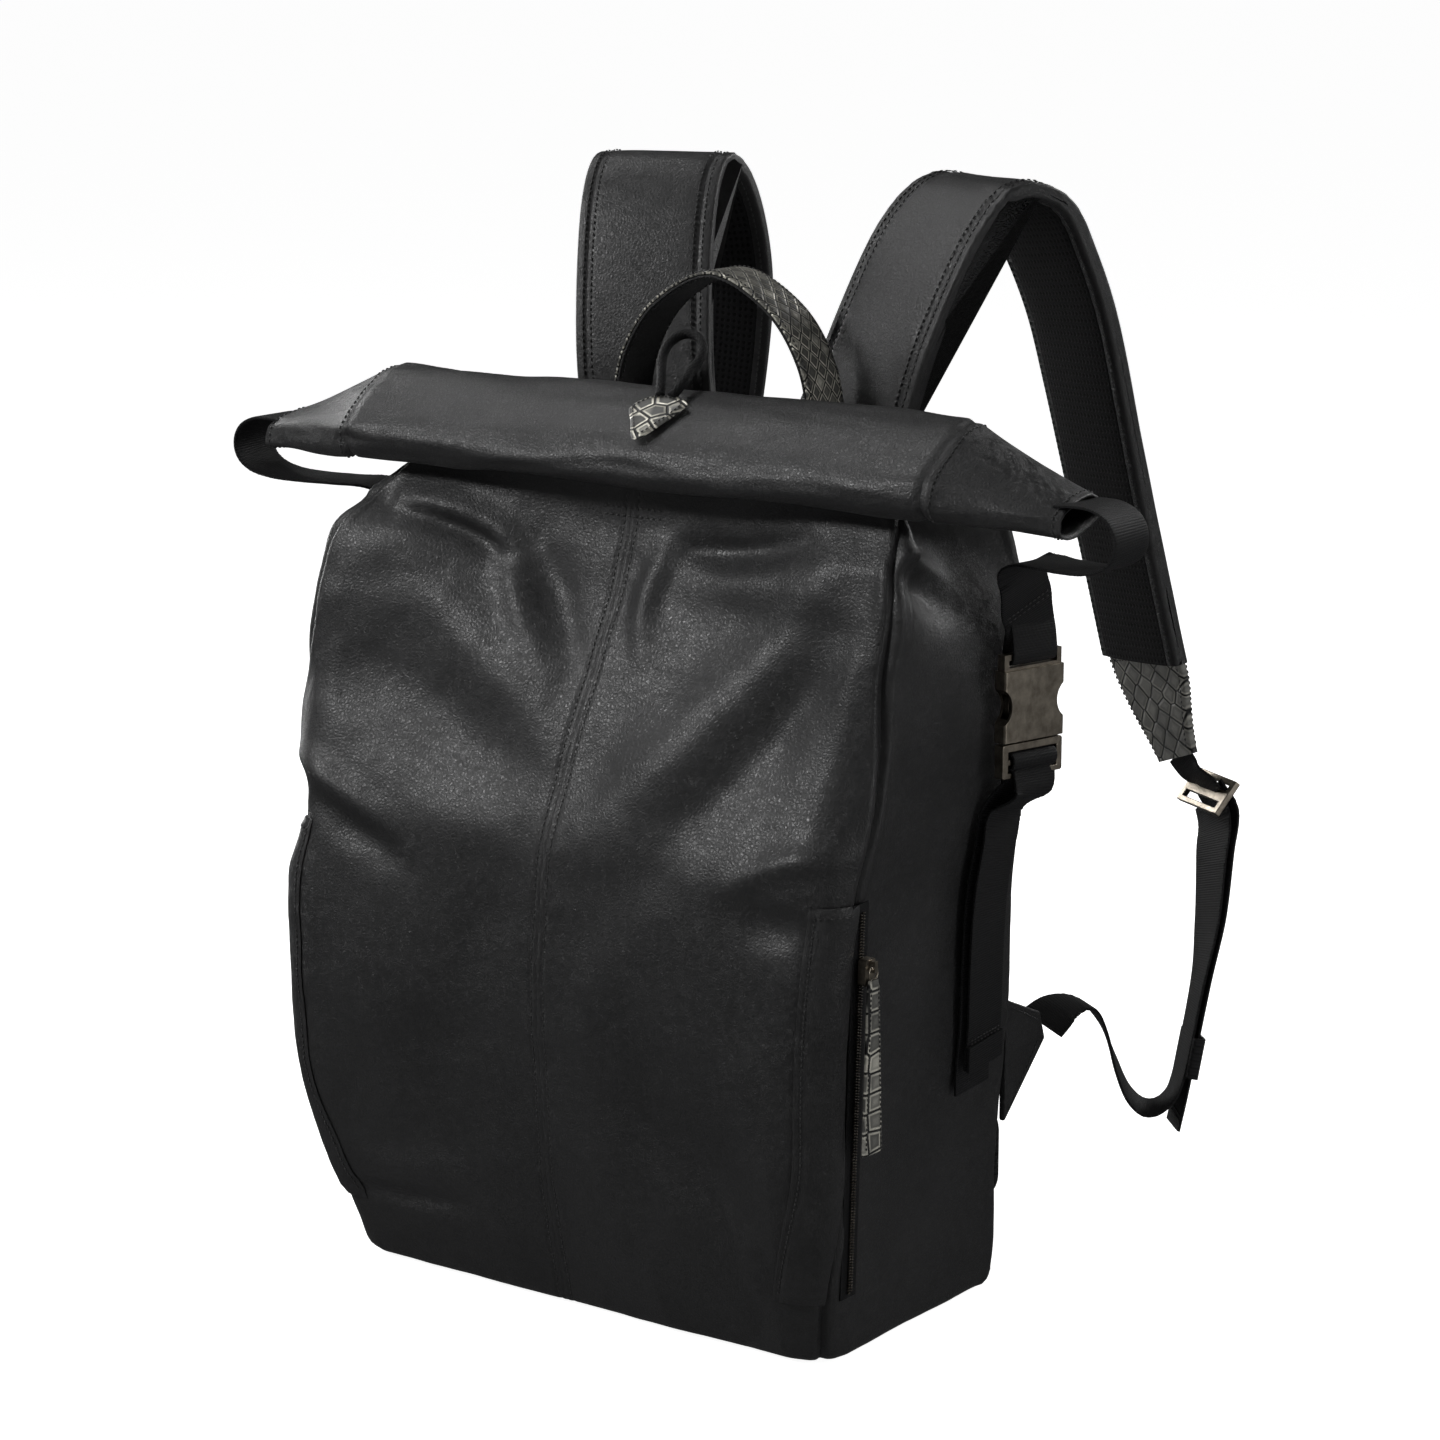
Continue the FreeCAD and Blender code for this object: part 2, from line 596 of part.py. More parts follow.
strap_end_route = [((161, 195.5, -96), 28), ((171, 198, -123), 28), ((181, 198, -149), 28)]
adjuster_place = (197, 200, -162)
# the webbing falls from the adjuster, and its lower stretch, with true heights, turns back up to the anchor
web_fall = [((206, 196, -173), 30), ((209, 190, -190), 32)]
web_route = [((213, 180, 180), 38), ((213.5, 171, 148), 50), ((209, 160, 94), 50), ((203, 156, 84), 56),
             ((195, 151.5, 80), 61), ((187, 147, 84), 61), ((181, 143.5, 97), 61), ((176, 140.5, 116), 61),
             ((169, 137, 132), 61)]
keeper_span = (100.0, 124.0)    # heights of the keeper's lower and upper edge


def from_back(route):
    """A route's points with their heights counted from the floor, not from the top of the back panel."""
    return [((x, y, back_height + rise), turn) for (x, y, rise), turn in route]


def band(route, widths, thickness):
    points = [Vector(*p) for p, _ in route]
    return ribbon(points, widths, [yaw(turn) for _, turn in route], thickness)


def straps():
    middle = (strap_width + strap_end_width) / 2
    for side, route in strap_routes.items():
        strap = band(from_back(route), [strap_width] * len(route), strap_thickness)
        end = band(from_back(strap_end_route), [strap_width, middle, strap_end_width], strap_end_thickness)
        for name, piece in (("shoulder_strap", strap), ("strap_end", end.cut(strap))):
            save(f"{name}_{side}", mirrored(piece) if side == "left" else piece)
    whole = from_back(web_fall) + web_route
    save_pair("adjust_web", band(whole, [web_width] * len(whole), web_thickness))


def adjusters():
    """Three-bar slide at the foot of the snakeskin end, and the elastic keeper lower on the webbing."""
    x, y, rise = adjuster_place
    centre = Vector(x, y, back_height + rise)
    width, height, thick = 39.0, 20.0, 3.2
    frame = box((-width / 2, -thick / 2, -height / 2), (width / 2, thick / 2, height / 2))
    for low in (-height / 2 + 3.0, height / 2 - 3.0 - web_slot):
        frame = frame.cut(box((-web_width / 2 - 0.8, -thick, low),
                              (web_width / 2 + 0.8, thick, low + web_slot)))
    frame.rotate(Vector(0, 0, 0), Vector(1, 0, 0), -38.0)
    frame.rotate(Vector(0, 0, 0), Vector(0, 0, 1), -30.0)
    frame.translate(centre)
    save_pair("adjuster", frame)
    a, b = [web_at(z) for z in keeper_span]
    outer = ribbon([a, b], [web_width + 5] * 2, [yaw(50)] * 2, web_thickness + 4.8)
    inner = ribbon([a - (b - a), b + (b - a)], [web_width + 1.6] * 2, [yaw(50)] * 2, web_thickness + 1.6)
    save_pair("keeper", outer.cut(inner))


def web_at(z):
    """The adjusting webbing's centre line at height z, on the stretch under the adjuster."""
    points = [Vector(*p) for p, _ in web_route[1:3]]
    for a, b in zip(points, points[1:]):
        if b.z <= z <= a.z:
            return a + (b - a) * ((a.z - z) / (a.z - b.z))
    raise ValueError("the keeper is off the webbing")


def anchors():
    tip = Vector(*anchor_tip)
    pads_end = max(pad_half(low, high) for low, high in pad_rows)
    x0 = max(side_x(anchor_top_z) - leather - anchor_thickness, pads_end + 1.0)
    start = back_y + small_gap
    outline = [Vector(x0, start, anchor_foot_z), Vector(x0, tip.y, tip.z - 9.0),
               Vector(x0, tip.y - 5.0, tip.z + 6.0), Vector(x0, start, anchor_top_z)]
    tab = Part.Face(Part.makePolygon(outline + outline[:1])).extrude(Vector(anchor_thickness, 0, 0))
    save_pair("anchor_tab", tab)


def strap_patch():
    """Leather patch over the sewn-in feet of the straps, on the back panel's upper edge."""
    height = 14.0
    low = (-98.0, back_y, pad_top + 1.0)
    save("strap_patch", box(low, (98.0, back_y + 2.0, low[2] + height)))


# ---- cord puller ------------------------------------------------------------------------------
def cord_puller():
    points = [Vector(x, roll_y + y, roll_z + z) for x, y, z in cord_points]
    cord = rounded_tube(points, cord_diameter / 2)
    save("cord_loop", cord)
    base = roll_height / 2 + small_gap
    ring = [Vector(tab_x + x, roll_y + y, roll_z + base) for x, y in tab_outline]
    tab = Part.Face(Part.makePolygon(ring + ring[:1])).extrude(Vector(0, 0, tab_thickness))
    tab.rotate(Vector(0, roll_y, roll_z), Vector(1, 0, 0), roll_tilt)
    save("cord_tab", tab.cut(cord))


def main():
    os.makedirs("parts", exist_ok=True)
    outer_panels()
    inset = inner_layers()
    sleeve(inset)
    back_pads()
    pockets()
    zips()
    pivot = zip_pulls()
    roll()
    roll_webs()
    buckles()
    lower_webs()
    side_patch()
    handle()
    straps()
    adjusters()
    anchors()
    strap_patch()
    cord_puller()
    print("puller pivot", [round(v, 2) for v in pivot])


main()
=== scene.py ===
"""Roll-top leather backpack: the visible surfaces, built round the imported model."""
import functools
import json
import math

import bmesh
import bpy
from bpy.props import FloatProperty, FloatVectorProperty, PointerProperty
from mathutils import Matrix, Vector, noise


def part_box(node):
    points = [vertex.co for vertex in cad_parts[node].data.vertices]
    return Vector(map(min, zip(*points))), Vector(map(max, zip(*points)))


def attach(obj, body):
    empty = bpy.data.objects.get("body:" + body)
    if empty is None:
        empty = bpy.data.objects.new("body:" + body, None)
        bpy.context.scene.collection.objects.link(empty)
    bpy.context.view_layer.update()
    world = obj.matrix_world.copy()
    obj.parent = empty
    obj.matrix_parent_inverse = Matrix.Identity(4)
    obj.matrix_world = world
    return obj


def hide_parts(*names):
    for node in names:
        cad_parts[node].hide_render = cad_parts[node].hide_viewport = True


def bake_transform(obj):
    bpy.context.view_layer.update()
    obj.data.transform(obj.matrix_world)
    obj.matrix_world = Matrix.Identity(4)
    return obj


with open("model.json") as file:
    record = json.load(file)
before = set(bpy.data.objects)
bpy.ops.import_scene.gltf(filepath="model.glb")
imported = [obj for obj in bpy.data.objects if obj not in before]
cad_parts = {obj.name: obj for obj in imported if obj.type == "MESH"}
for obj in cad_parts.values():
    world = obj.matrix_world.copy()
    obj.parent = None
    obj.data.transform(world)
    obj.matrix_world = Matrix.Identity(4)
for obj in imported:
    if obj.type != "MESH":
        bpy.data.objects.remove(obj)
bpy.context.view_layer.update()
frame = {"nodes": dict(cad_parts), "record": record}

bl_info = {
    "name": "Roll-top backpack",
    "version": (1, 0, 0),
    "blender": (4, 5, 0),
    "location": "View3D > Sidebar > Backpack",
    "description": "Models a roll-top leather backpack, piece by piece",
    "category": "Add Mesh",
}

MM = 0.001
SIDES = (("right", 1), ("left", -1))
ZIP_LOW, ZIP_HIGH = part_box("zip_right")
ROLL_LOW, ROLL_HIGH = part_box("roll_cover")
ROLL_MID = (ROLL_LOW + ROLL_HIGH) / 2
ROLL_TILT = math.radians(34)
BODY_OF = {n: b for b, ns in frame["record"]["behaviour"]["bodies"].items() for n in ns}


# ---- settings -------------------------------------------------------------------------------
def length(name, text, millimetres):
    return FloatProperty(name=name, description=text, default=millimetres * MM, unit="LENGTH", precision=4)


def colour(name, text, value):
    return FloatVectorProperty(name=name, description=text, default=value, size=3, subtype="COLOR", min=0,
                               max=1)


class BackpackSizes(bpy.types.PropertyGroup):
    wall: length("Leather", "Thickness of the body panels", 2.0)
    seam_spread: length("Seam spread", "Between the two stitch rows of the centre seam", 7.6)
    stitch_pitch: length("Stitch pitch", "From one stitch to the next", 3.3)
    stitch_length: length("Stitch length", "Visible length of a stitch", 2.4)
    thread: length("Thread", "Thickness of the sewing thread", 0.75)
    web_thickness: length("Webbing", "Thickness of the webbing", 1.7)
    strap_thickness: length("Strap", "Thickness of the padded strap", 11.0)
    binding: length("Binding", "Width of the strap's bound edge", 7.0)
    tooth_pitch: length("Zip pitch", "From one turn of the zip's coil to the next", 1.45)


class BackpackColours(bpy.types.PropertyGroup):
    leather: colour("Leather", "Body leather", (0.0075, 0.0075, 0.0078))
    thread: colour("Thread", "Sewing thread", (0.013, 0.013, 0.013))
    scale: colour("Scale", "Middle of a snakeskin scale", (0.03, 0.03, 0.028))
    rub: colour("Rub", "Rubbed edge of a snakeskin scale", (0.62, 0.60, 0.52))
    webbing: colour("Webbing", "Woven straps", (0.0034, 0.0034, 0.0037))
    lining: colour("Lining", "Inside cloth", (0.02, 0.02, 0.022))
    metal: colour("Metal", "Antique nickel", (0.22, 0.19, 0.155))
    worn_metal: colour("Worn metal", "Edges of the metal, rubbed bright", (0.58, 0.52, 0.43))


def sizes():
    return bpy.context.scene.backpack_sizes


def colours():
    return bpy.context.scene.backpack_colours


# ---- shader maths -----------------------------------------------------------------------------
class Value:
    """A shader socket that takes part in Python expressions."""

    def __init__(self, finish, socket):
        self.finish, self.socket = finish, socket

    def _math(self, operation, *values, clamp=False):
        node = self.finish.tree.nodes.new("ShaderNodeMath")
        node.operation, node.use_clamp = operation, clamp
        for slot, value in zip(node.inputs, values):
            self.finish.feed(slot, value)
        return Value(self.finish, node.outputs[0])

    def __add__(self, other):
        return self._math("ADD", self, other)

    def __sub__(self, other):
        return self._math("SUBTRACT", self, other)

    def __rsub__(self, other):
        return self._math("SUBTRACT", other, self)

    def __mul__(self, other):
        return self._math("MULTIPLY", self, other)

    def __truediv__(self, other):
        return self._math("DIVIDE", self, other)

    __radd__, __rmul__ = __add__, __mul__

    def sin(self):
        return self._math("SINE", self)

    def abs(self):
        return self._math("ABSOLUTE", self)

    def power(self, exponent):
        return self._math("POWER", self, exponent)

    def limited(self):
        return self._math("ADD", self, 0.0, clamp=True)

    def between(self, low, high):
        """0 below low, 1 above high, and a straight rise between them."""
        return ((self - low) / (high - low)).limited()


class Finish:
    """A material under construction, with one method that makes every node."""

    def __init__(self, name):
        self.material = bpy.data.materials.new(name)
        self.material.use_nodes = True
        self.tree = self.material.node_tree
        self.shader = self.tree.nodes["Principled BSDF"]

    def feed(self, socket, value):
        if isinstance(value, Value):
            self.tree.links.new(value.socket, socket)
        else:
            socket.default_value = value

    def node(self, kind, settings=None, output=0, **inputs):
        made = self.tree.nodes.new("ShaderNode" + kind)
        for key, value in (settings or {}).items():
            setattr(made, key, value)
        for key, value in inputs.items():
            self.feed(made.inputs[key.replace("_", " ")], value)
        return Value(self, made.outputs[output])

    def place(self):
        return self.node("TexCoord", output="Object")

    def strip(self):
        """Distances across and along a strip, in metres."""
        across = self.node("Attribute", {"attribute_name": "across"}, output="Fac")
        along = self.node("Attribute", {"attribute_name": "along"}, output="Fac")
        return across, along

    def noise(self, vector, scale, detail=2.0, roughness=0.5):
        return self.node("TexNoise", Vector=vector, Scale=scale, Detail=detail, Roughness=roughness)

    def cells(self, vector, scale, feature="DISTANCE_TO_EDGE", randomness=1.0, output=0):
        return self.node("TexVoronoi", {"feature": feature}, output=output, Vector=vector, Scale=scale,
                         Randomness=randomness)

    def blend(self, factor, low, high):
        node = self.tree.nodes.new("ShaderNodeMix")
        node.data_type = "RGBA"
        sockets = {s.identifier: s for s in node.inputs}
        for key, value in (("Factor_Float", factor), ("A_Color", low), ("B_Color", high)):
            if isinstance(value, (tuple, list)) or hasattr(value, "r"):
                value = (*tuple(value)[:3], 1.0)
            self.feed(sockets[key], value)
        return Value(self, next(s for s in node.outputs if s.identifier == "Result_Color"))

    def bump(self, height, depth, strength=1.0):
        normal = self.node("Bump", Height=height, Distance=depth, Strength=strength)
        self.set(Normal=normal)

    def set(self, **values):
        for key, value in values.items():
            socket = self.shader.inputs[key.replace("_", " ")]
            if not isinstance(value, Value) and socket.type == "RGBA":
                value = (*tuple(value)[:3], 1.0)
            self.feed(socket, value)


def tone(base, factor):
    return tuple(min(1.0, c * factor) for c in tuple(base)[:3])


@functools.lru_cache(maxsize=None)
def leather_finish(name="backpack leather", gloss=0.0):
    """Soft black grain leather: pebbled cells, fine pores and slow changes of sheen."""
    f = Finish(name)
    at = f.place()
    slow = f.noise(at, 14.0, 3.0)
    pebble = f.cells(at, 480.0).between(0.0, 0.30)
    crease = f.cells(f.blend(0.35, at, f.node("TexNoise", output="Color", Vector=at, Scale=70.0)), 165.0)
    crease = crease.between(0.0, 0.10)
    pores = f.noise(at, 1900.0, 2.0, 0.6)
    height = pebble * 0.60 + crease * 0.50 + pores * 0.05
    f.set(Base_Color=f.blend(slow, tone(colours().leather, 0.75), tone(colours().leather, 1.5)),
          Roughness=0.50 - gloss + slow * 0.09 - pebble * 0.11 - crease * 0.10 + pores * 0.05,
          Specular_IOR_Level=0.5)
    f.bump(height, 0.00021, 0.6)
    return f.material


@functools.lru_cache(maxsize=None)
def snake_finish(name, size, stretch, shine, randomness=0.25, turned=True, body=1.0):
    """Embossed scales: dark crevices, pale rubbed rims, and some scales rubbed all over.

    size is a scale's width, stretch how much longer it is, shine how far the rims are rubbed, and body how
    pale the scales themselves are.
    """
    f = Finish(name)
    across, along = f.strip()
    x, y = across / size, along / (size * stretch)
    if turned:
        x, y = (x + y) * 0.7071, (x - y) * 0.7071
    at = f.node("CombineXYZ", X=x, Y=y)
    edge = f.cells(at, 1.0, randomness=randomness)
    tint = f.cells(at, 1.0, "F1", randomness, output="Color")
    grey = f.node("SeparateColor", output=0, Color=tint)
    worn = f.noise(f.place(), 55.0, 4.0, 0.6)
    fine = f.noise(f.place(), 900.0, 3.0, 0.6)
    crevice = 1.0 - edge.between(0.015, 0.06)
    rim = edge.between(0.05, 0.09) * (1.0 - edge.between(0.11, 0.20))
    crown = edge.between(0.06, 0.40)
    rub = rim * (worn.between(0.36, 0.62) * 0.85 + 0.15) + crown * grey.between(0.66, 0.95) * worn * 0.9
    rub = (rub * shine + crown * fine * 0.10 * body).limited()
    scale = f.blend(crown, tone(colours().scale, 0.5 * body), tone(colours().scale, 1.2 * body))
    f.set(Base_Color=f.blend(crevice, f.blend(rub, scale, colours().rub), (0.002, 0.002, 0.002)),
          Metallic=rub * 0.7,
          Roughness=0.42 - rub * 0.12 + fine * 0.14)
    f.bump(crown.power(0.5) * 0.8 + fine * 0.10 - crevice * 0.4, 0.0007, 0.85)
    return f.material


@functools.lru_cache(maxsize=None)
def webbing_finish(name="webbing", tint=1.0, rib=1.25):
    """Close ribbed weave: weft ribs crossed by warp threads that step by half a rib, with painted shade in the grooves
    and painted light on the raised threads.
    """
    f = Finish(name)
    across, along = f.strip()
    ribs = (along * (math.pi / (rib * MM))).sin().abs()
    warp = ((across * (math.pi / (0.9 * MM))) + (along * (math.pi / (rib * MM * 2)))).sin().abs()
    fibre = f.noise(f.place(), 2600.0, 2.0)
    height = ribs * 0.55 + warp * 0.45 + fibre * 0.2
    # painted shade and light: the colour follows the weave's height, darker in the grooves and paler on the raised
    # threads
    f.set(Base_Color=f.blend(height.between(0.2, 1.0), tone(colours().webbing, 0.5 * tint),
                             tone(colours().webbing, 1.7 * tint)),
          Roughness=0.55 + fibre * 0.15, Specular_IOR_Level=0.2)
    f.bump(height, 0.0003, 0.8)
    return f.material


@functools.lru_cache(maxsize=None)
def mesh_finish():
    """Black spacer mesh: a regular net of small holes, coloured near-black inside as painted shade of their depth."""
    f = Finish("air mesh")
    across, along = f.strip()
    at = f.node("CombineXYZ", X=across / 0.0031, Y=along / 0.0036)
    hole = 1.0 - f.cells(at, 1.0, "F1", 0.12).between(0.24, 0.36)
    yarn = f.noise(f.place(), 2400.0, 2.0)
    # painted shade: the holes get a near-black colour for the shade inside them
    f.set(Base_Color=f.blend(hole, tone(colours().webbing, 1.5), (0.0012, 0.0012, 0.0013)),
          Roughness=0.70 + yarn * 0.2, Specular_IOR_Level=0.15)
    f.bump((1.0 - hole) * 0.9 + yarn * 0.25, 0.0009, 0.9)
    return f.material


@functools.lru_cache(maxsize=None)
def cloth_finish(name="lining cloth"):
    f = Finish(name)
    at = f.node("Mapping", Vector=f.place(), Scale=(1.0, 1.0, 1.0))
    split = f.node("SeparateXYZ", output="X", Vector=at)
    rise = f.node("SeparateXYZ", output="Z", Vector=at)
    weave = (split * 5200.0).sin() * 0.5 + (rise * 5200.0).sin() * 0.5
    slub = f.noise(at, 500.0, 3.0)
    f.set(Base_Color=f.blend(slub, tone(colours().lining, 0.6), tone(colours().lining, 1.5)),
          Roughness=0.78 + slub * 0.12, Sheen_Weight=0.2)
    f.bump(weave * 0.5 + slub, 0.0002, 0.6)
    return f.material


@functools.lru_cache(maxsize=None)
def metal_finish(name="antique nickel", dark=1.0):
    """Brushed antique nickel: dark in the recesses, paler where it has been handled."""
    f = Finish(name)
    at = f.place()
    cloud = f.noise(at, 160.0, 5.0, 0.6)
    brushed = f.noise(f.node("Mapping", Vector=at, Scale=(1.0, 1.0, 0.05)), 3200.0, 2.0)
    bright = (cloud.between(0.35, 0.68) * 0.7 + brushed * 0.3).limited()
    f.set(Base_Color=f.blend(bright, tone(colours().metal, dark), tone(colours().worn_metal, dark)),
          Metallic=1.0, Roughness=0.30 + brushed * 0.18 - cloud * 0.05)
    f.bump(brushed * 0.6 + cloud * 0.4, 0.00008, 0.5)
    return f.material


@functools.lru_cache(maxsize=None)
def thread_finish():
    f = Finish("sewing thread")
    twist = f.noise(f.place(), 3000.0, 2.0)
    f.set(Base_Color=f.blend(twist, tone(colours().thread, 0.6), tone(colours().thread, 2.2)),
          Roughness=0.36 + twist * 0.2)
    f.bump(twist, 0.0001, 0.5)
    return f.material


@functools.lru_cache(maxsize=None)
def board_finish():
    f = Finish("stiffener board")
    fibre = f.noise(f.place(), 300.0, 4.0)
    f.set(Base_Color=f.blend(fibre, (0.03, 0.03, 0.03), (0.06, 0.06, 0.06)), Roughness=0.7 + fibre * 0.1)
    f.bump(fibre, 0.0002, 0.4)
    return f.material


# ---- mesh helpers --------------------------------------------------------------------------------
def settle(name, bm, body, slot, material, replaces=(), sharp=40.0):
    """Turns a bmesh into a finished object that rides on a body. With no body it is left free, with no parent."""
    mesh = bpy.data.meshes.new(name)
    bm.to_mesh(mesh)
    bm.free()
    mesh.shade_smooth()
    mesh.set_sharp_from_angle(angle=math.radians(sharp))
    piece = bpy.data.objects.new(name, mesh)
    bpy.context.scene.collection.objects.link(piece)
    mesh.materials.append(material)
    if replaces:
        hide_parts(*replaces)
    if body:
        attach(piece, body)
    return piece


def loft(around, along, place, closed=True, caps=True):
    """A grid that is wrapped by place(u, w), which gives a point, and the distances across and along a strip."""
    bm = bmesh.new()
    bmesh.ops.create_grid(bm, x_segments=around, y_segments=along, size=0.5)
    across_layer = bm.verts.layers.float.new("across")
    along_layer = bm.verts.layers.float.new("along")
    for v in bm.verts:
        v.co, v[across_layer], v[along_layer] = place(v.co.x + 0.5, v.co.y + 0.5)
    if closed:
        bmesh.ops.remove_doubles(bm, verts=bm.verts, dist=1e-6)
        if caps:
            rims = [e for e in bm.edges if e.is_boundary]
            bmesh.ops.holes_fill(bm, edges=rims, sides=0)
        bmesh.ops.recalc_face_normals(bm, faces=bm.faces)
    return bm


def thicken(bm, wall):
    """Gives an open sheet its wall, on the side away from its normals."""
    bmesh.ops.solidify(bm, geom=bm.faces[:], thickness=wall)
    return bm


def spline(points, t):
    """A smooth curve through points (numbers or vectors) at t from 0 to 1."""
    spans = len(points) - 1
    i = min(int(t * spans), spans - 1)
    s = t * spans - i
    a, b = points[max(i - 1, 0)], points[i]
    c, d = points[i + 1], points[min(i + 2, spans)]
    return 0.5 * ((2 * b) + (c - a) * s + (2 * a - 5 * b + 4 * c - d) * s * s + (3 * b - a - 3 * c + d) * s ** 3)


def reaches(points):
    """Length along a route to each of its points."""
    reach = [0.0]
    for a, b in zip(points, points[1:]):
        reach.append(reach[-1] + (b - a).length)
    return reach


def smoothstep(low, high, x):
    t = min(1.0, max(0.0, (x - low) / (high - low)))
    return t * t * (3 - 2 * t)


def monotone(xs, ys, x):
    """A smooth curve through the points that never overshoots them."""
    if x <= xs[0]:
        return ys[0]
    if x >= xs[-1]:
        return ys[-1]
    i = next(k for k in range(len(xs) - 1) if x <= xs[k + 1])

    def slope(k):
        if k <= 0 or k >= len(xs) - 1:
            return 0.0 if k <= 0 else (ys[-1] - ys[-2]) / (xs[-1] - xs[-2])
        before = (ys[k] - ys[k - 1]) / (xs[k] - xs[k - 1])
        after = (ys[k + 1] - ys[k]) / (xs[k + 1] - xs[k])
        return 0.0 if before * after <= 0 else 2 * before * after / (before + after)

    h = xs[i + 1] - xs[i]
    t = (x - xs[i]) / h
    return ((1 + 2 * t) * (1 - t) ** 2 * ys[i] + t * (1 - t) ** 2 * h * slope(i)
            + t * t * (3 - 2 * t) * ys[i + 1] + t * t * (t - 1) * h * slope(i + 1))


class Route:
    """A strip's centre line: evenly spaced stations with their directions along, across and up."""

    def __init__(self, points, turns, count=80):
        fine = [spline(points, k / 400) for k in range(401)]
        angles = [spline(turns, k / 400) for k in range(401)]
        reach = reaches(fine)
        self.length = reach[-1]
        self.points, self.turns, j = [], [], 0
        for k in range(count + 1):
            goal = self.length * k / count
            while j < 399 and reach[j + 1] < goal:
                j += 1
            s = (goal - reach[j]) / max(reach[j + 1] - reach[j], 1e-9)
            self.points.append(fine[j].lerp(fine[j + 1], s))
            self.turns.append(angles[j].lerp(angles[j + 1], s))
        self.count = count

    def at(self, w):
        """Point, along, across and up at share w of the length."""
        x = min(max(w, 0.0), 1.0) * self.count
        i = min(int(x), self.count - 1)
        p = self.points[i].lerp(self.points[i + 1], x - i)
        low, high = max(i - 1, 0), min(i + 2, self.count)
        along = (self.points[high] - self.points[low]).normalized()
        across = self.turns[i].lerp(self.turns[i + 1], x - i)
        across = (across - along * across.dot(along)).normalized()
        return p, along, across, along.cross(across)


def rounded(u, half_width, half_height, power=4.0):
    """A point of a flat rounded section at share u of its way round."""
    angle = 2 * math.pi * u
    c, s = math.cos(angle), math.sin(angle)
    return (math.copysign(abs(c) ** (2 / power), c) * half_width,
            math.copysign(abs(s) ** (2 / power), s) * half_height)


def walk(u, half_width, half_height, radius):
    """A point of a rectangle with round corners at share u of its length, from the middle of its right edge."""
    straight, upright, bend = half_width - radius, half_height - radius, radius * math.pi / 2
    s = (u % 1.0) * 4 * (straight + upright + bend)
    runs = ((upright, (half_width, 0), (0, 1)), (bend, (straight, upright), 0),
            (2 * straight, (straight, half_height), (-1, 0)), (bend, (-straight, upright), 1),
            (2 * upright, (-half_width, upright), (0, -1)), (bend, (-straight, -upright), 2),
            (2 * straight, (-straight, -half_height), (1, 0)), (bend, (straight, -upright), 3),
            (upright, (half_width, -upright), (0, 1)))
    for extent, start, way in runs:
        if s <= extent:
            break
        s -= extent
    if isinstance(way, tuple):
        return start[0] + way[0] * s, start[1] + way[1] * s
    angle = way * math.pi / 2 + s / radius
    return start[0] + radius * math.cos(angle), start[1] + radius * math.sin(angle)


def strip(route, width, thickness, around=36, along=120, shape=None, power=5.0):
    """A strip along a route. shape(x, h, w) may move a section point, x across and h up, at share w."""

    def place(u, w):
        half = (width(w) if callable(width) else width) / 2
        x, h = rounded(u, half, thickness / 2, power)
        if shape:
            x, h = shape(x, h, w)
        p, _, across, up = route.at(w)
        return p + across * x + up * h, x, w * route.length

    return loft(around, along, place)


def yaw(degrees, side=1):
    """Width direction of a strap that is turned from the side towards the front."""
    return Vector((side * math.cos(math.radians(degrees)), -math.sin(math.radians(degrees)), 0)) * side


def mirror(vector, side):
    return Vector((vector[0] * side, vector[1], vector[2]))


def grain(segments, rings):
    """A small ball's mesh, which stamp copies."""
    bm = bmesh.new()
    bmesh.ops.create_uvsphere(bm, u_segments=segments, v_segments=rings, radius=1.0)
    mesh = bpy.data.meshes.new("grain")
    bm.to_mesh(mesh)
    bm.free()
    return mesh


def stamp(bm, mesh, place):
    """Adds one copy of a small mesh to a bmesh."""
    copy = mesh.copy()
    copy.transform(place)
    bm.from_mesh(copy)
    bpy.data.meshes.remove(copy)


def stitches(name, runs, body, pitch=None, slot="black_leather", lift=0.3):
    """Rows of thread. Each run is a list of (point, outward normal), and its stitches lie along it."""
    s = sizes()
    pitch = pitch or s.stitch_pitch
    bm, ball = bmesh.new(), grain(6, 5)
    for run in runs:
        reach = reaches([point for point, _ in run])
        count = max(1, int(reach[-1] / pitch))
        j = 0
        for k in range(count):
            goal = (k + 0.5) * reach[-1] / count
            while reach[j + 1] < goal:
                j += 1
            t = (goal - reach[j]) / max(reach[j + 1] - reach[j], 1e-9)
            along = (run[j + 1][0] - run[j][0]).normalized()
            out = run[j][1].lerp(run[j + 1][1], t).normalized()
            across = out.cross(along).normalized()
            out = along.cross(across)
            p = run[j][0].lerp(run[j + 1][0], t) + out * s.thread * lift
            turn = Matrix((along, across, out)).transposed().to_4x4()
            size = Matrix.Diagonal((s.stitch_length * pitch / s.stitch_pitch / 2, s.thread / 2, s.thread / 2,
                                    1))
            stamp(bm, ball, Matrix.Translation(p) @ turn @ size)
    bpy.data.meshes.remove(ball)
    return settle(name, bm, body, slot, thread_finish(), sharp=180)


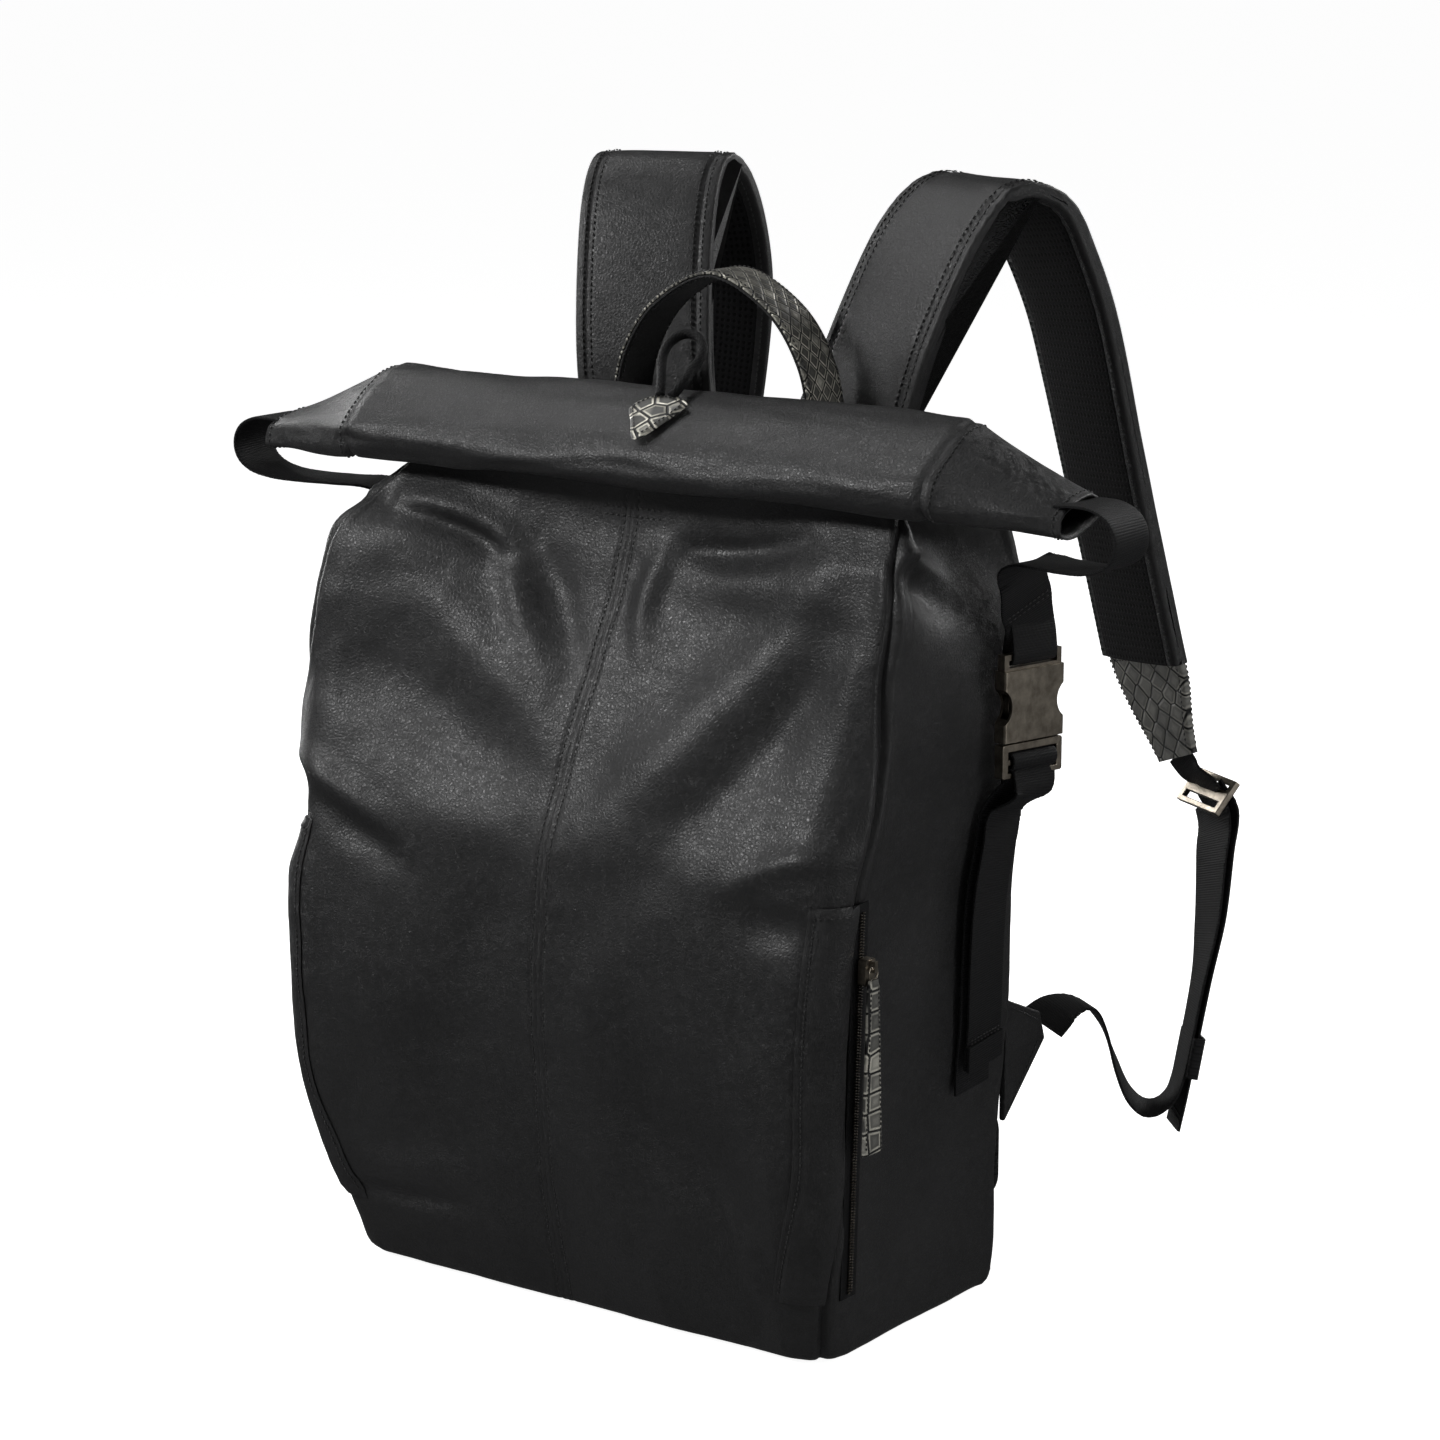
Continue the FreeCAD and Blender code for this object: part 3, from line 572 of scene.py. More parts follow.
def dressed(node, material, bevel=0.4, name=None, sharp=30.0):
    """A copy of a CAD piece with its doubles merged and its edges softened."""
    bm = bmesh.new()
    bm.from_mesh(frame["nodes"][node].data)
    bmesh.ops.remove_doubles(bm, verts=bm.verts, dist=1e-5)
    bmesh.ops.dissolve_limit(bm, angle_limit=math.radians(3), verts=bm.verts, edges=bm.edges)
    across_layer = bm.verts.layers.float.new("across")
    along_layer = bm.verts.layers.float.new("along")
    for v in bm.verts:
        v[across_layer], v[along_layer] = v.co.x + v.co.y, v.co.z
    slot = next(s["material_slot"] for s in frame["record"]["subparts"] if s["node"] == node)
    piece = settle(name or node + "_finished", bm, BODY_OF[node], slot, material, (node,), sharp)
    if bevel:
        soft = piece.modifiers.new("Softened edges", "BEVEL")
        soft.width, soft.segments, soft.limit_method = bevel * MM, 2, "ANGLE"
        soft.angle_limit = math.radians(35)
        soft.harden_normals = True
    return piece


# ---- the bag's skin ---------------------------------------------------------------------------
# height, half width, front, back, front corner radius, rear corner radius, fold of the gusset, tilt of the rim
SKIN = [
    (0.0, 141.0, -68.5, 66.5, 20, 7, 0, 0), (1.2, 145.5, -73.0, 71.0, 22, 7, 0, 0),
    (4.0, 148.6, -76.6, 73.6, 23, 7, 0, 0), (10.0, 150.2, -79.0, 74.8, 24, 7, 0, 0),
    (60.0, 152.8, -89.5, 75.0, 25, 7, 0, 0), (112.0, 156.0, -94.0, 75.0, 26, 7, 0, 0),
    (165.0, 158.6, -96.8, 75.0, 26, 7, 0, 0), (233.0, 162.2, -90.6, 75.0, 26, 7, 0, 0),
    (280.0, 165.5, -71.5, 75.0, 26, 7, 1, 0), (310.0, 167.0, -56.5, 75.0, 25, 7, 3, 0),
    (340.0, 167.0, -40.5, 75.0, 22, 7, 7, 0), (357.0, 166.0, -31.0, 75.0, 18, 8, 12, 0),
    (375.0, 163.0, -24.0, 75.0, 13, 9, 19, 0), (390.0, 159.0, -19.5, 75.0, 9, 9, 26, 0),
    (399.0, 156.0, -18.5, 74.0, 7, 9, 29, 0), (403.0, 154.0, -18.0, 69.0, 7, 9, 29, 0),
    (407.0, 152.0, -17.5, 52.0, 7, 8, 25, 0), (410.5, 150.0, -17.0, 35.0, 7, 7, 17, 0.06),
    (413.5, 148.0, -16.5, 15.0, 6, 6, 8, 0.78),
]
HEIGHTS = [row[0] for row in SKIN]
TOP = HEIGHTS[-1]


def arc(start, end, bow, spread, rise, steps=6):
    """A fold along an arc: its points, its half width and its height. bow is to the left of its direction."""
    (a0, b0), (a1, b1) = start, end
    reach = math.hypot(a1 - a0, b1 - b0)
    points = []
    for k in range(steps + 1):
        t = k / steps
        off = 4 * bow * t * (1 - t) / reach
        points.append((a0 + (a1 - a0) * t - (b1 - b0) * off, b0 + (b1 - b0) * t + (a1 - a0) * off))
    return points, spread, rise


# folds of the front, on x and z: the pull lines that run from the ends of the roll to the middle
FRONT_FOLDS = [
    arc((-150, 385), (-75, 365), 5, 5.5, -6.0),     # crease under the left shoulder
    arc((-140, 390), (-85, 380), 3, 8, 4.0),        # lip above it
    arc((-85, 380), (-30, 320), -3, 9, 5.5),        # short ridge down to the seam
    arc((-60, 370), (-20, 320), 0, 12, -4.5),       # hollow beside it
    arc((-140, 370), (-15, 285), 0, 20, 6.0),       # broad drape on the left
    arc((-160, 310), (-45, 270), 5, 20, -4.0),      # hollow under the drape
    arc((-175, 265), (-105, 235), 0, 7, 3.5),       # crease over the left pocket
    arc((-170, 250), (-90, 215), 0, 9, -4.0),       # hollow below it
    arc((-170, 390), (-145, 385), 0, 10, -4.5),     # dent in the left shoulder
    arc((25, 380), (100, 390), -4, 7, -7.0),        # hollow under the roll on the right
    arc((25, 385), (20, 330), -10, 8, 4.0),         # upright ridge beside the seam
    arc((40, 365), (130, 370), 3, 14, 4.5),         # band under the roll
    arc((120, 365), (0, 225), 0, 22, 7.0),          # broad drape on the right
    arc((145, 385), (60, 240), 8, 17, -5.5),        # hollow outside the drape
    arc((105, 235), (175, 250), 10, 7, 4.5),        # ridge over the right pocket
    arc((110, 220), (155, 220), 0, 11, -5.0),       # hollow below it
    arc((80, 215), (130, 80), 7, 20, 3.0),          # soft swells and hollows of the lower half
    arc((-140, 40), (-60, 45), 0, 6, -3.5),
    arc((-135, 55), (-70, 60), 0, 10, 2.5),
    arc((-125, 195), (-105, 85), 3, 16, 3.0),
    arc((-35, 215), (-85, 90), 0, 22, -3.0),
    arc((30, 190), (35, 50), -8, 22, 2.5),
    arc((60, 120), (130, 60), 0, 18, -2.5),
]
# folds of the side, on its depth and height
SIDE_FOLDS = [
    arc((-50, 395), (-45, 345), 7, 7, 5.5), arc((-40, 395), (20, 375), 3, 5, 5.0), arc((-30, 380), (20, 360),
                                                                                       0, 9, -7.0),
    arc((45, 390), (45, 280), 4, 12, 3.0), arc((-20, 350), (50, 260), 0, 15, 2.5), arc((-45, 300), (0, 250),
                                                                                       0, 16, -3.0),
    arc((20, 235), (-25, 150), 0, 18, 2.0), arc((55, 130), (-15, 55), 0, 16, -2.0), arc((40, 60), (-30, 25),
                                                                                        0, 12, 1.5),
]
EAR_REACH = 17.0        # how far the upper corners stand forward of the middle
FOOT_SPREAD = 5.0       # how far the left corner spreads at the foot,
BELLY_SPREAD = 10.0     # how much more it spreads at the pocket,
CROWN_SPREAD = 7.0      # how much more again under the roll,
PINCH = 5.0             # and how far it is drawn in over the pocket
SPREAD_FORWARD = 0.65   # forward share of that spread
SEAM_SHIFT = -7.0       # the centre seam leans off the middle
YOKE_STITCHES = 404.2   # height of the yoke's stitch row
ZIP_SIDE_Y = -71.0      # the left corner's spread ends here, in front of the zip


@functools.lru_cache(maxsize=4000)
def row(z):
    """Every column of the skin's table at height z, in millimetres."""
    return [monotone(HEIGHTS, [r[k] for r in SKIN], z) for k in range(1, 8)]


def fold_height(folds, a, b):
    """Height that the folds add at (a, b). Each swells along its middle and dies away at its ends."""
    total = 0.0
    for line, spread, rise in folds:
        near, share = 1e9, 0.0
        spans = len(line) - 1
        for i, ((a0, b0), (a1, b1)) in enumerate(zip(line, line[1:])):
            da, db = a1 - a0, b1 - b0
            t = min(1.0, max(0.0, ((a - a0) * da + (b - b0) * db) / (da * da + db * db)))
            off = (a - a0 - da * t) ** 2 + (b - b0 - db * t) ** 2
            if off < near:
                near, share = off, (i + t) / spans
        if near < 9 * spread * spread:
            total += rise * (0.35 + 0.65 * math.sin(math.pi * share)) * math.exp(-near / spread ** 2)
    return total


@functools.lru_cache(maxsize=4000)
def spread_at(z):
    """Forward stand of the upper corners, and the left corner's spread outwards and forwards."""
    ear = EAR_REACH * smoothstep(290, 370, z) * (1 - smoothstep(380, TOP, z))
    wide = FOOT_SPREAD + BELLY_SPREAD * smoothstep(20, 110, z) + CROWN_SPREAD * smoothstep(240, 320, z)
    wide -= PINCH * math.exp(-((z - 230) / 16) ** 2)
    wide *= 1 - smoothstep(365, TOP, z)
    return ear, wide, wide * SPREAD_FORWARD


def warp(side, x, y, z, hx, yf):
    """How far the sewn corners and the leaning seam move a point of the plain form, in x and y."""
    ear, wide, forward = spread_at(z)
    near_corner = smoothstep(0.25, 1.0, x / hx)
    move_x = SEAM_SHIFT * side * math.exp(-(x / 45.0) ** 2) * smoothstep(yf + 12, yf, y)
    move_y = -ear * near_corner * smoothstep(45.0, yf + 10.0, y)
    if side < 0:
        low, high = smoothstep(ZIP_SIDE_Y, ZIP_SIDE_Y - 13.0, y), smoothstep(30.0, -40.0, y)
        share = smoothstep(232.0, 262.0, z)
        weight = (low + (high - low) * share) * max(0.0, x / hx) ** 2.5
        move_x += wide * weight
        move_y -= forward * weight
    return move_x, move_y


def girth(z):
    """Lengths round the skin from the front's middle to the front's end, corner seam, rear seam and back's middle."""
    hx, yf, yb, rf, rb, _, _ = row(z)
    flat = hx - rf
    # the seam runs behind the corner's arc, and in its middle at the foot and in the pinched upper corner
    turn = 0.55 + 0.40 * smoothstep(0, 110, z) - 0.45 * smoothstep(240, 340, z)
    seam = flat + rf * math.pi / 2 * turn
    side = flat + rf * math.pi / 2 + (yb - rb - yf - rf)
    return flat, seam, side + rb * math.pi / 4, side + rb * math.pi / 2 + hx - rb


def skin(side, s, z, out=0.0, plain=False):
    """A point on the bag's skin in metres, and its outward normal. s is the length round from the front's middle."""
    hx, yf, yb, rf, rb, gusset, tilt = row(round(z, 2))
    flat = hx - rf
    deep = yb - rb - yf - rf
    arc_f, arc_r = rf * math.pi / 2, rb * math.pi / 2
    if s <= flat:
        x, y, n = s, yf, (0.0, -1.0)
    elif s <= flat + arc_f:
        a = (s - flat) / rf
        n = (math.sin(a), -math.cos(a))
        x, y = flat + rf * n[0], yf + rf + rf * n[1]
    elif s <= flat + arc_f + deep:
        x, y, n = hx, yf + rf + (s - flat - arc_f), (1.0, 0.0)
    elif s <= flat + arc_f + deep + arc_r:
        a = (s - flat - arc_f - deep) / rb
        n = (math.cos(a), math.sin(a))
        x, y = hx - rb + rb * n[0], yb - rb + rb * n[1]
    else:
        x, y, n = hx - rb - (s - flat - arc_f - deep - arc_r), yb, (0.0, 1.0)
    move_x, move_y = warp(side, x, y, z, hx, yf)
    x, y = x + move_x, y + move_y
    away = out
    if not plain:
        front, flank = max(0.0, -n[1]) ** 2, max(0.0, n[0]) ** 2
        away += front * fold_height(FRONT_FOLDS, side * x, z) * smoothstep(0, 30, z)
        away += flank * fold_height(SIDE_FOLDS, y, z)
        depth = (y - (yf + yb) / 2) / ((yb - yf) / 2)
        away -= flank * gusset * max(0.0, 1 - depth * depth) ** 1.2
        away -= flank * 3.0 * max(0.0, 1 - depth * depth) * smoothstep(15, 90, z) * (1 - smoothstep(250, 330,
                                                                                                    z))
        from_seam = abs(x - SEAM_SHIFT * side)
        for line, sunk in ((0.0, 0.35), (sizes().seam_spread / 2 / MM, 0.65)):
            away -= sunk * max(0.0, -n[1]) * math.exp(-((from_seam - line) / 0.9) ** 2)
        seed = Vector((side * x, y, z))
        away += noise.noise(seed / 62.0) * 2.2 + noise.noise(seed / 21.0 + Vector((7, 3, 1))) * 0.7
        away += noise.noise(seed / 8.0 + Vector((2, 9, 4))) * 0.16
    p = Vector((side * (x + n[0] * away), y + n[1] * away, z + tilt * (y - yf)))
    return p * MM, Vector((side * n[0], n[1], 0.0))


def skin_sheet(side, start, end, z0, z1, columns, rows, out=0.0, groove=(True, True), depth=2.4):
    """A sheet of the skin between two lengths round (functions of height) and two heights, with turned-in edges."""

    def place(u, w):
        z = z0 + (z1 - z0) * w
        a, b = start(z), end(z)
        even = 0.5 - 0.5 * math.cos(math.pi * u)
        s = a + (b - a) * (0.45 * u + 0.55 * even)
        sink = 0.0
        for sewn, gap in zip(groove, (s - a, b - s)):
            if sewn:
                sink += depth * math.exp(-(gap / 1.7) ** 2) - 0.9 * math.exp(-((gap - 5.0) / 3.2) ** 2)
        p, _ = skin(side, s, z, out - sink)
        return p, s * MM * side, z * MM

    return loft(columns, rows, place, closed=False)


def outward(bm, centre=Vector((0, 0, 0.2))):
    """Turns an open sheet so that its faces point away from the middle of the bag."""
    bm.normal_update()
    score = sum(f.normal.dot(f.calc_center_median() - centre) * f.calc_area() for f in bm.faces)
    if score < 0:
        bmesh.ops.reverse_faces(bm, faces=bm.faces[:])
        bm.normal_update()
    return bm


def panel(name, bm, node, body=None, wall=None):
    outward(bm)
    thicken(bm, wall or sizes().wall)
    piece = settle(name, bm, body, "black_leather", leather_finish(), (node,) if node else (), 60)
    if not body:
        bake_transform(piece)
    return piece


class BACKPACK_OT_panels(bpy.types.Operator):
    """Sewn leather body: front halves, sides, back, yoke and base"""
    bl_idname = "backpack.panels"
    bl_label = "Body panels"

    def execute(self, context):
        zero = lambda z: 0.0
        seam = lambda z: girth(z)[1]
        rear = lambda z: girth(z)[2]
        middle = lambda z: girth(z)[3]
        for word, side in SIDES:
            front = skin_sheet(side, zero, seam, 0.0, TOP, 96, 190, groove=(False, True))
            panel(f"front_{word}", front, f"front_panel_{word}")
            flank = skin_sheet(side, seam, rear, 0.0, TOP, 72, 170)
            panel(f"side_{word}", flank, f"side_panel_{word}")

        def behind(u, w, z0, z1):
            side = 1 if u < 0.5 else -1
            z = z0 + (z1 - z0) * w
            a, b = rear(z), middle(z)
            s = a + (b - a) * (2 * u if u < 0.5 else 2 - 2 * u)
            p, _ = skin(side, s, z, -1.2 * math.exp(-((s - a) / 1.6) ** 2))
            return p, s * MM, z * MM

        back = loft(90, 110, lambda u, w: behind(u, w, 0.0, 401.5), closed=False)
        panel("back", back, "back_panel", "bag")
        yoke = loft(90, 24, lambda u, w: behind(u, w, 401.5, TOP), closed=False)
        outward(yoke, Vector((0, 0, 0.3)))
        thicken(yoke, sizes().wall)
        piece = settle("yoke", yoke, None, "black_leather", leather_finish(), ("top_yoke",), 60)
        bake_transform(piece)

        def disc(u, w):
            s = 4 * middle(0.0) * u
            quarter = middle(0.0) * 2
            side = 1 if s <= quarter else -1
            p, _ = skin(side, (s if side > 0 else 2 * quarter - s) / 2, 0.0, 0.0)
            centre = Vector((0, -0.001, 0))
            p = centre + (p - centre) * w * 0.998
            return Vector((p.x, p.y, 0.0003)), p.x, p.y

        base = loft(160, 12, disc, caps=False)
        outward(base, Vector((0, 0, 0.2)))
        thicken(base, 2.4 * MM)
        settle("base", base, "bag", "black_leather", leather_finish(), ("base_panel",), 60)
        return {"FINISHED"}


def skin_run(side, s, z0, z1, out=0.0, steps=160):
    """A run for stitches up the skin, s being a function of height."""
    return [skin(side, s(z), z, out) for z in (z0 + (z1 - z0) * k / steps for k in range(steps + 1))]


class BACKPACK_OT_seams(bpy.types.Operator):
    """Thread of the centre seam, the corner seams and the yoke, and the small tab at the seam's top"""
    bl_idname = "backpack.seams"
    bl_label = "Seams"

    def execute(self, context):
        half = sizes().seam_spread / 2 / MM
        runs = [skin_run(side, lambda z: half, 3.0, 404.0) for _, side in SIDES]
        piece = stitches("centre_seam_thread", runs, None)
        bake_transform(piece)
        runs = []
        for _, side in SIDES:
            runs.append([skin(side, girth(z)[2] + 5.0, z) for z in range(6, 400, 4)])
        for side in (1, -1):
            runs.append([skin(side, girth(YOKE_STITCHES)[3] - x, YOKE_STITCHES) for x in range(0, 140, 5)])
        stitches("back_seam_thread", runs, "bag")
        bar = [skin(side, abs(x), 396.5, 0.2) for x in range(-18, 19, 3) for side in (1 if x >= 0 else -1,)]
        low = [skin(side, abs(x), 392.5, 0.2) for x in range(-18, 19, 3) for side in (1 if x >= 0 else -1,)]
        piece = stitches("seam_bar_thread", [bar, low], None)
        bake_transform(piece)
        return {"FINISHED"}


# ---- front corner pockets ------------------------------------------------------------------------
ZIP_FOOT, ZIP_HEAD = ZIP_LOW.z / MM, ZIP_HIGH.z / MM
PLACKET_WIDTH = 26.0
PLACKET_STITCHES = 3.4      # from the flap's sewn edge to its stitch row


def placket_row(z):
    """Length round the skin to the flap's stitch row."""
    return girth(z)[1] - 0.5 - PLACKET_WIDTH + PLACKET_STITCHES


def placket_shape(u, w, side):
    """A folded flap: flat against the front at its sewn edge and standing off at its free edge."""
    z = ZIP_FOOT + (ZIP_HEAD - ZIP_FOOT) * w
    seam = girth(z)[1]
    x, h = rounded(u, 0.5, 0.5, 3.2)
    t = x + 0.5
    ends = smoothstep(0.0, 0.02, w) * smoothstep(1.0, 0.98, w)
    top = 1.1 + 2.6 * t ** 1.5 + 1.1 * math.sin(math.pi * t) + 0.35 * noise.noise(Vector((w * 9, t * 2, side)))
    low = 0.2 + 1.4 * t ** 2
    rise = low + (top - low) * (h + 0.5) * (0.4 + 0.6 * ends)
    rise -= 0.7 * math.exp(-((t * PLACKET_WIDTH - PLACKET_STITCHES) / 1.2) ** 2)
    s = seam - 0.5 - PLACKET_WIDTH * (1 - t)
    p, _ = skin(side, s, z, rise)
    return p, s * MM, z * MM


class BACKPACK_OT_pockets(bpy.types.Operator):
    """Corner pockets: placket, zip tape, coil, slider, ring, snakeskin puller and the bag inside"""
    bl_idname = "backpack.pockets"
    bl_label = "Corner pockets"

    def zip_point(self, side, y, z, out):
        """A point over the zip's line, which the CAD slider follows."""
        x_foot, x_head = self.tape_x
        t = (z - ZIP_FOOT) / (ZIP_HEAD - ZIP_FOOT)
        return Vector((side * (x_foot + (x_head - x_foot) * t + out * MM), y, z * MM))

    def execute(self, context):
        slope = (ZIP_HIGH.x - ZIP_LOW.x - 2.4 * MM) / (ZIP_HEAD - ZIP_FOOT)
        self.tape_x = (ZIP_LOW.x, ZIP_LOW.x + slope * (ZIP_HEAD - ZIP_FOOT))
        for word, side in SIDES:
            flap = loft(40, 110, lambda u, w: placket_shape(u, w, side))
            settle(f"placket_{word}_flap", flap, "bag", "black_leather", leather_finish(),
                   (f"placket_{word}",), 60)
            edge = []
            for k in range(81):
                z = ZIP_FOOT + 4 + (ZIP_HEAD - ZIP_FOOT - 8) * k / 80
                edge.append(skin(side, placket_row(z), z, 1.0))
            head = [skin(side, placket_row(ZIP_HEAD) + x, ZIP_HEAD - 4.5, 2.2 + x * 0.09)
                    for x in range(0, 20, 2)]
            stitches(f"placket_{word}_thread", [edge, head], "bag", pitch=2.9 * MM)
            self.zip(word, side)
            self.pull(word)
            inner = skin_sheet(side, lambda z: girth(z)[0] - 88, lambda z: girth(z)[0] - 4, ZIP_FOOT,
                               ZIP_HEAD, 20,
                               30, -6.5, (False, False))
            outward(inner)
            thicken(inner, 2.0 * MM)
            settle(f"pocket_{word}_cloth", inner, "bag", "lining_cloth", cloth_finish(),
                   (f"pocket_bag_{word}",))
        return {"FINISHED"}

    def zip(self, word, side):
        y_foot, y_head = -60.0 * MM, -66.0 * MM

        def line(z):
            return y_foot + (y_head - y_foot) * (z - ZIP_FOOT) / (ZIP_HEAD - ZIP_FOOT)

        def tape(u, w):
            z = ZIP_FOOT + (ZIP_HEAD - ZIP_FOOT) * w
            x, h = rounded(u, 6.5 * MM, 0.5, 6.0)
            return self.zip_point(side, line(z) + x, z, 0.5 + h), x, z * MM

        piece = settle(f"zip_{word}_tape", loft(24, 40, tape), "bag", "zip_tape", webbing_finish("zip tape",
                                                                                                 0.9, 0.8),
                       (f"zip_{word}",))
        bm, ball = bmesh.new(), grain(8, 5)
        pitch = sizes().tooth_pitch
        for k in range(int((ZIP_HEAD - ZIP_FOOT - 6) * MM / pitch)):
            z = ZIP_FOOT + 3 + k * pitch / MM
            for row_side in (-1, 1):
                at = self.zip_point(side, line(z) + row_side * 1.0 * MM, z + row_side * pitch / MM / 4, 1.7)
                size = Matrix.Diagonal((0.75 * MM, 1.25 * MM, 0.5 * MM, 1))
                stamp(bm, ball, Matrix.Translation(at) @ size)
        bpy.data.meshes.remove(ball)
        settle(f"zip_{word}_coil", bm, "bag", "zip_tape", metal_finish("zip coil", 0.16), sharp=180)
        return piece

    def pull(self, word):
        dressed(f"zip_slider_{word}", metal_finish(), 0.5)
        dressed(f"puller_ring_{word}", metal_finish(), 0.0, sharp=180)
        low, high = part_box(f"puller_{word}")
        mid = (low + high) / 2
        top, foot = high.z, low.z
        route = Route([Vector((mid.x, mid.y, top - (top - foot) * k / 6)) for k in range(7)],
                      [Vector((0, 1, 0))] * 7, 40)

        def width(w):
            return (9.0 + 7.0 * w) * MM * (0.72 + 0.28 * smoothstep(0.0, 0.05, w))

        bm = strip(route, width, 2.2 * MM, 32, 70, power=3.6)
        settle(f"puller_{word}_leaf", bm, BODY_OF[f"puller_{word}"], "snakeskin",
               snake_finish("puller snakeskin", 0.0115, 0.85, 0.75, 0.22, False), (f"puller_{word}",))
        runs = []
        for edge in (-1, 1):
            for face in (-1, 1):
                run = []
                for k in range(41):
                    w = 0.04 + 0.93 * k / 40
                    p, _, across, up = route.at(w)
                    run.append((p + across * edge * (width(w) / 2 - 1.6 * MM) + up * face * 0.95 * MM,
                                up * face))
                runs.append(run)
        stitches(f"puller_{word}_thread", runs, BODY_OF[f"puller_{word}"], 2.4 * MM, "snakeskin")


# ---- rolled top --------------------------------------------------------------------------------
SEAM_X, TIP_X = ROLL_HIGH.x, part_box("roll_end_right")[1].x
TIP_MID = Vector((TIP_X, ROLL_MID.y + 4.5 * MM, ROLL_MID.z - 16.5 * MM))


def turned(y, z, tilt):
    c, s = math.cos(tilt), math.sin(tilt)
    return y * c - z * s, y * s + z * c


def roll_section(u, x, shrink=0.0):
    """The flat roll's outline at x, which narrows and flattens towards its ends."""
    side = math.copysign(1, x)
    t = max(0.0, (abs(x) - SEAM_X) / (TIP_X - SEAM_X))
    ease = t ** 0.9
    depth = (32.0 + (19.0 - 32.0) * ease) * MM - shrink
    height = (14.0 + (8.5 - 14.0) * ease) * MM - shrink
    tilt = ROLL_TILT + (math.radians(12) - ROLL_TILT) * smoothstep(0, 1, t)
    a = 2 * math.pi * u
    c, s = math.cos(a), math.sin(a)
    y = math.copysign(abs(c) ** 0.90, c) * depth
    z = math.copysign(abs(s) ** 0.80, s) * height
    near = math.exp(-((abs(x) - SEAM_X) / (2.2 * MM)) ** 2)
    pinch = math.exp(-((abs(x) - SEAM_X) / (14 * MM)) ** 2)
    seed = Vector((x * 16, c * 1.3, s * 1.3))
    swell = 2.0 * noise.noise(seed) + 0.7 * noise.noise(seed * 2.3 + Vector((4, 4, 4)))
    swell += 0.9 * pinch * noise.noise(Vector((a * 2.6, side * 3.0, 1.0)))
    swell -= 1.5 * near
    k = 1 + (swell - 0.6) * MM / (0.5 * (depth + height))
    y, z = y * k, z * k
    sag = 1.6 * MM * math.sin(math.pi * (x / (2 * SEAM_X) + 0.5)) * noise.noise(Vector((x * 9, 3.3, 0)))
    y, z = turned(y, z, tilt)
    mid_y = ROLL_MID.y + (TIP_MID.y - ROLL_MID.y) * ease
    mid_z = ROLL_MID.z + (TIP_MID.z - ROLL_MID.z) * ease + sag
    return Vector((x, mid_y + y, mid_z + z)), a * depth, x


class BACKPACK_OT_roll(bpy.types.Operator):
    """Rolled top: cover, tapered leather ends, what is wound inside, and the end seams"""
    bl_idname = "backpack.roll"
    bl_label = "Rolled top"

    def execute(self, context):
        cover = loft(96, 190, lambda u, w: roll_section(u, -SEAM_X + 2 * SEAM_X * w))
        settle("roll_cover_skin", cover, "roll", "black_leather", leather_finish(), ("roll_cover",), 60)
        for word, side in SIDES:
            def end(u, w):
                if w < 0.82:
                    return roll_section(u, side * (SEAM_X + (TIP_X - 0.4 * MM - SEAM_X) * w / 0.82))
                t = (w - 0.82) / 0.18
                back = side * (TIP_X - 0.4 * MM - 16 * MM * max(0.0, t - 0.15))
                return roll_section(u, back, 2.6 * MM * smoothstep(0, 0.3, t))

            bm = loft(80, 70, end)
            settle(f"roll_end_{word}_skin", bm, "roll", "black_leather", leather_finish(),
                   (f"roll_end_{word}",), 60)
            ring = []
            for k in range(121):
                p, _, _ = roll_section(k / 120, side * (SEAM_X + 5.0 * MM))
                centre = Vector((p.x, ROLL_MID.y, ROLL_MID.z))
                ring.append((p, (p - centre).normalized()))
            rim = []
            for k in range(121):
                p, _, _ = roll_section(k / 120, side * (TIP_X - 4.0 * MM))
                centre = Vector((p.x, TIP_MID.y, TIP_MID.z))
                rim.append((p, (p - centre).normalized()))
            stitches(f"roll_end_{word}_thread", [ring, rim], "roll")
        inner = loft(48, 40, lambda u, w: roll_section(u, (-SEAM_X + 8 * MM) + 2 * (SEAM_X - 8 * MM) * w,
                                                       5.5 * MM))
        settle("wound_collar_cloth", inner, "roll", "lining_cloth", cloth_finish(), ("wound_collar",))
        dressed("roll_stiffener", board_finish(), 0.3)

        def bag_lining(u, w):
            z = 8.0 + (TOP - 8.0) * w
            middle = girth(z)[3]
            side = 1 if u <= 0.5 else -1
            s = 2 * middle * u if u <= 0.5 else 2 * middle * (1 - u)
            reach = -5.5 if z < 380 else -3.2
            p, _ = skin(side, s, z, reach)
            return p, s * MM, z * MM

        bm = loft(150, 90, bag_lining, caps=False)
        outward(bm)
        thicken(bm, 0.8 * MM)
        lining = settle("lining_cloth_bag", bm, None, "lining_cloth", cloth_finish(), ("lining",))
        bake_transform(lining)
        return {"FINISHED"}


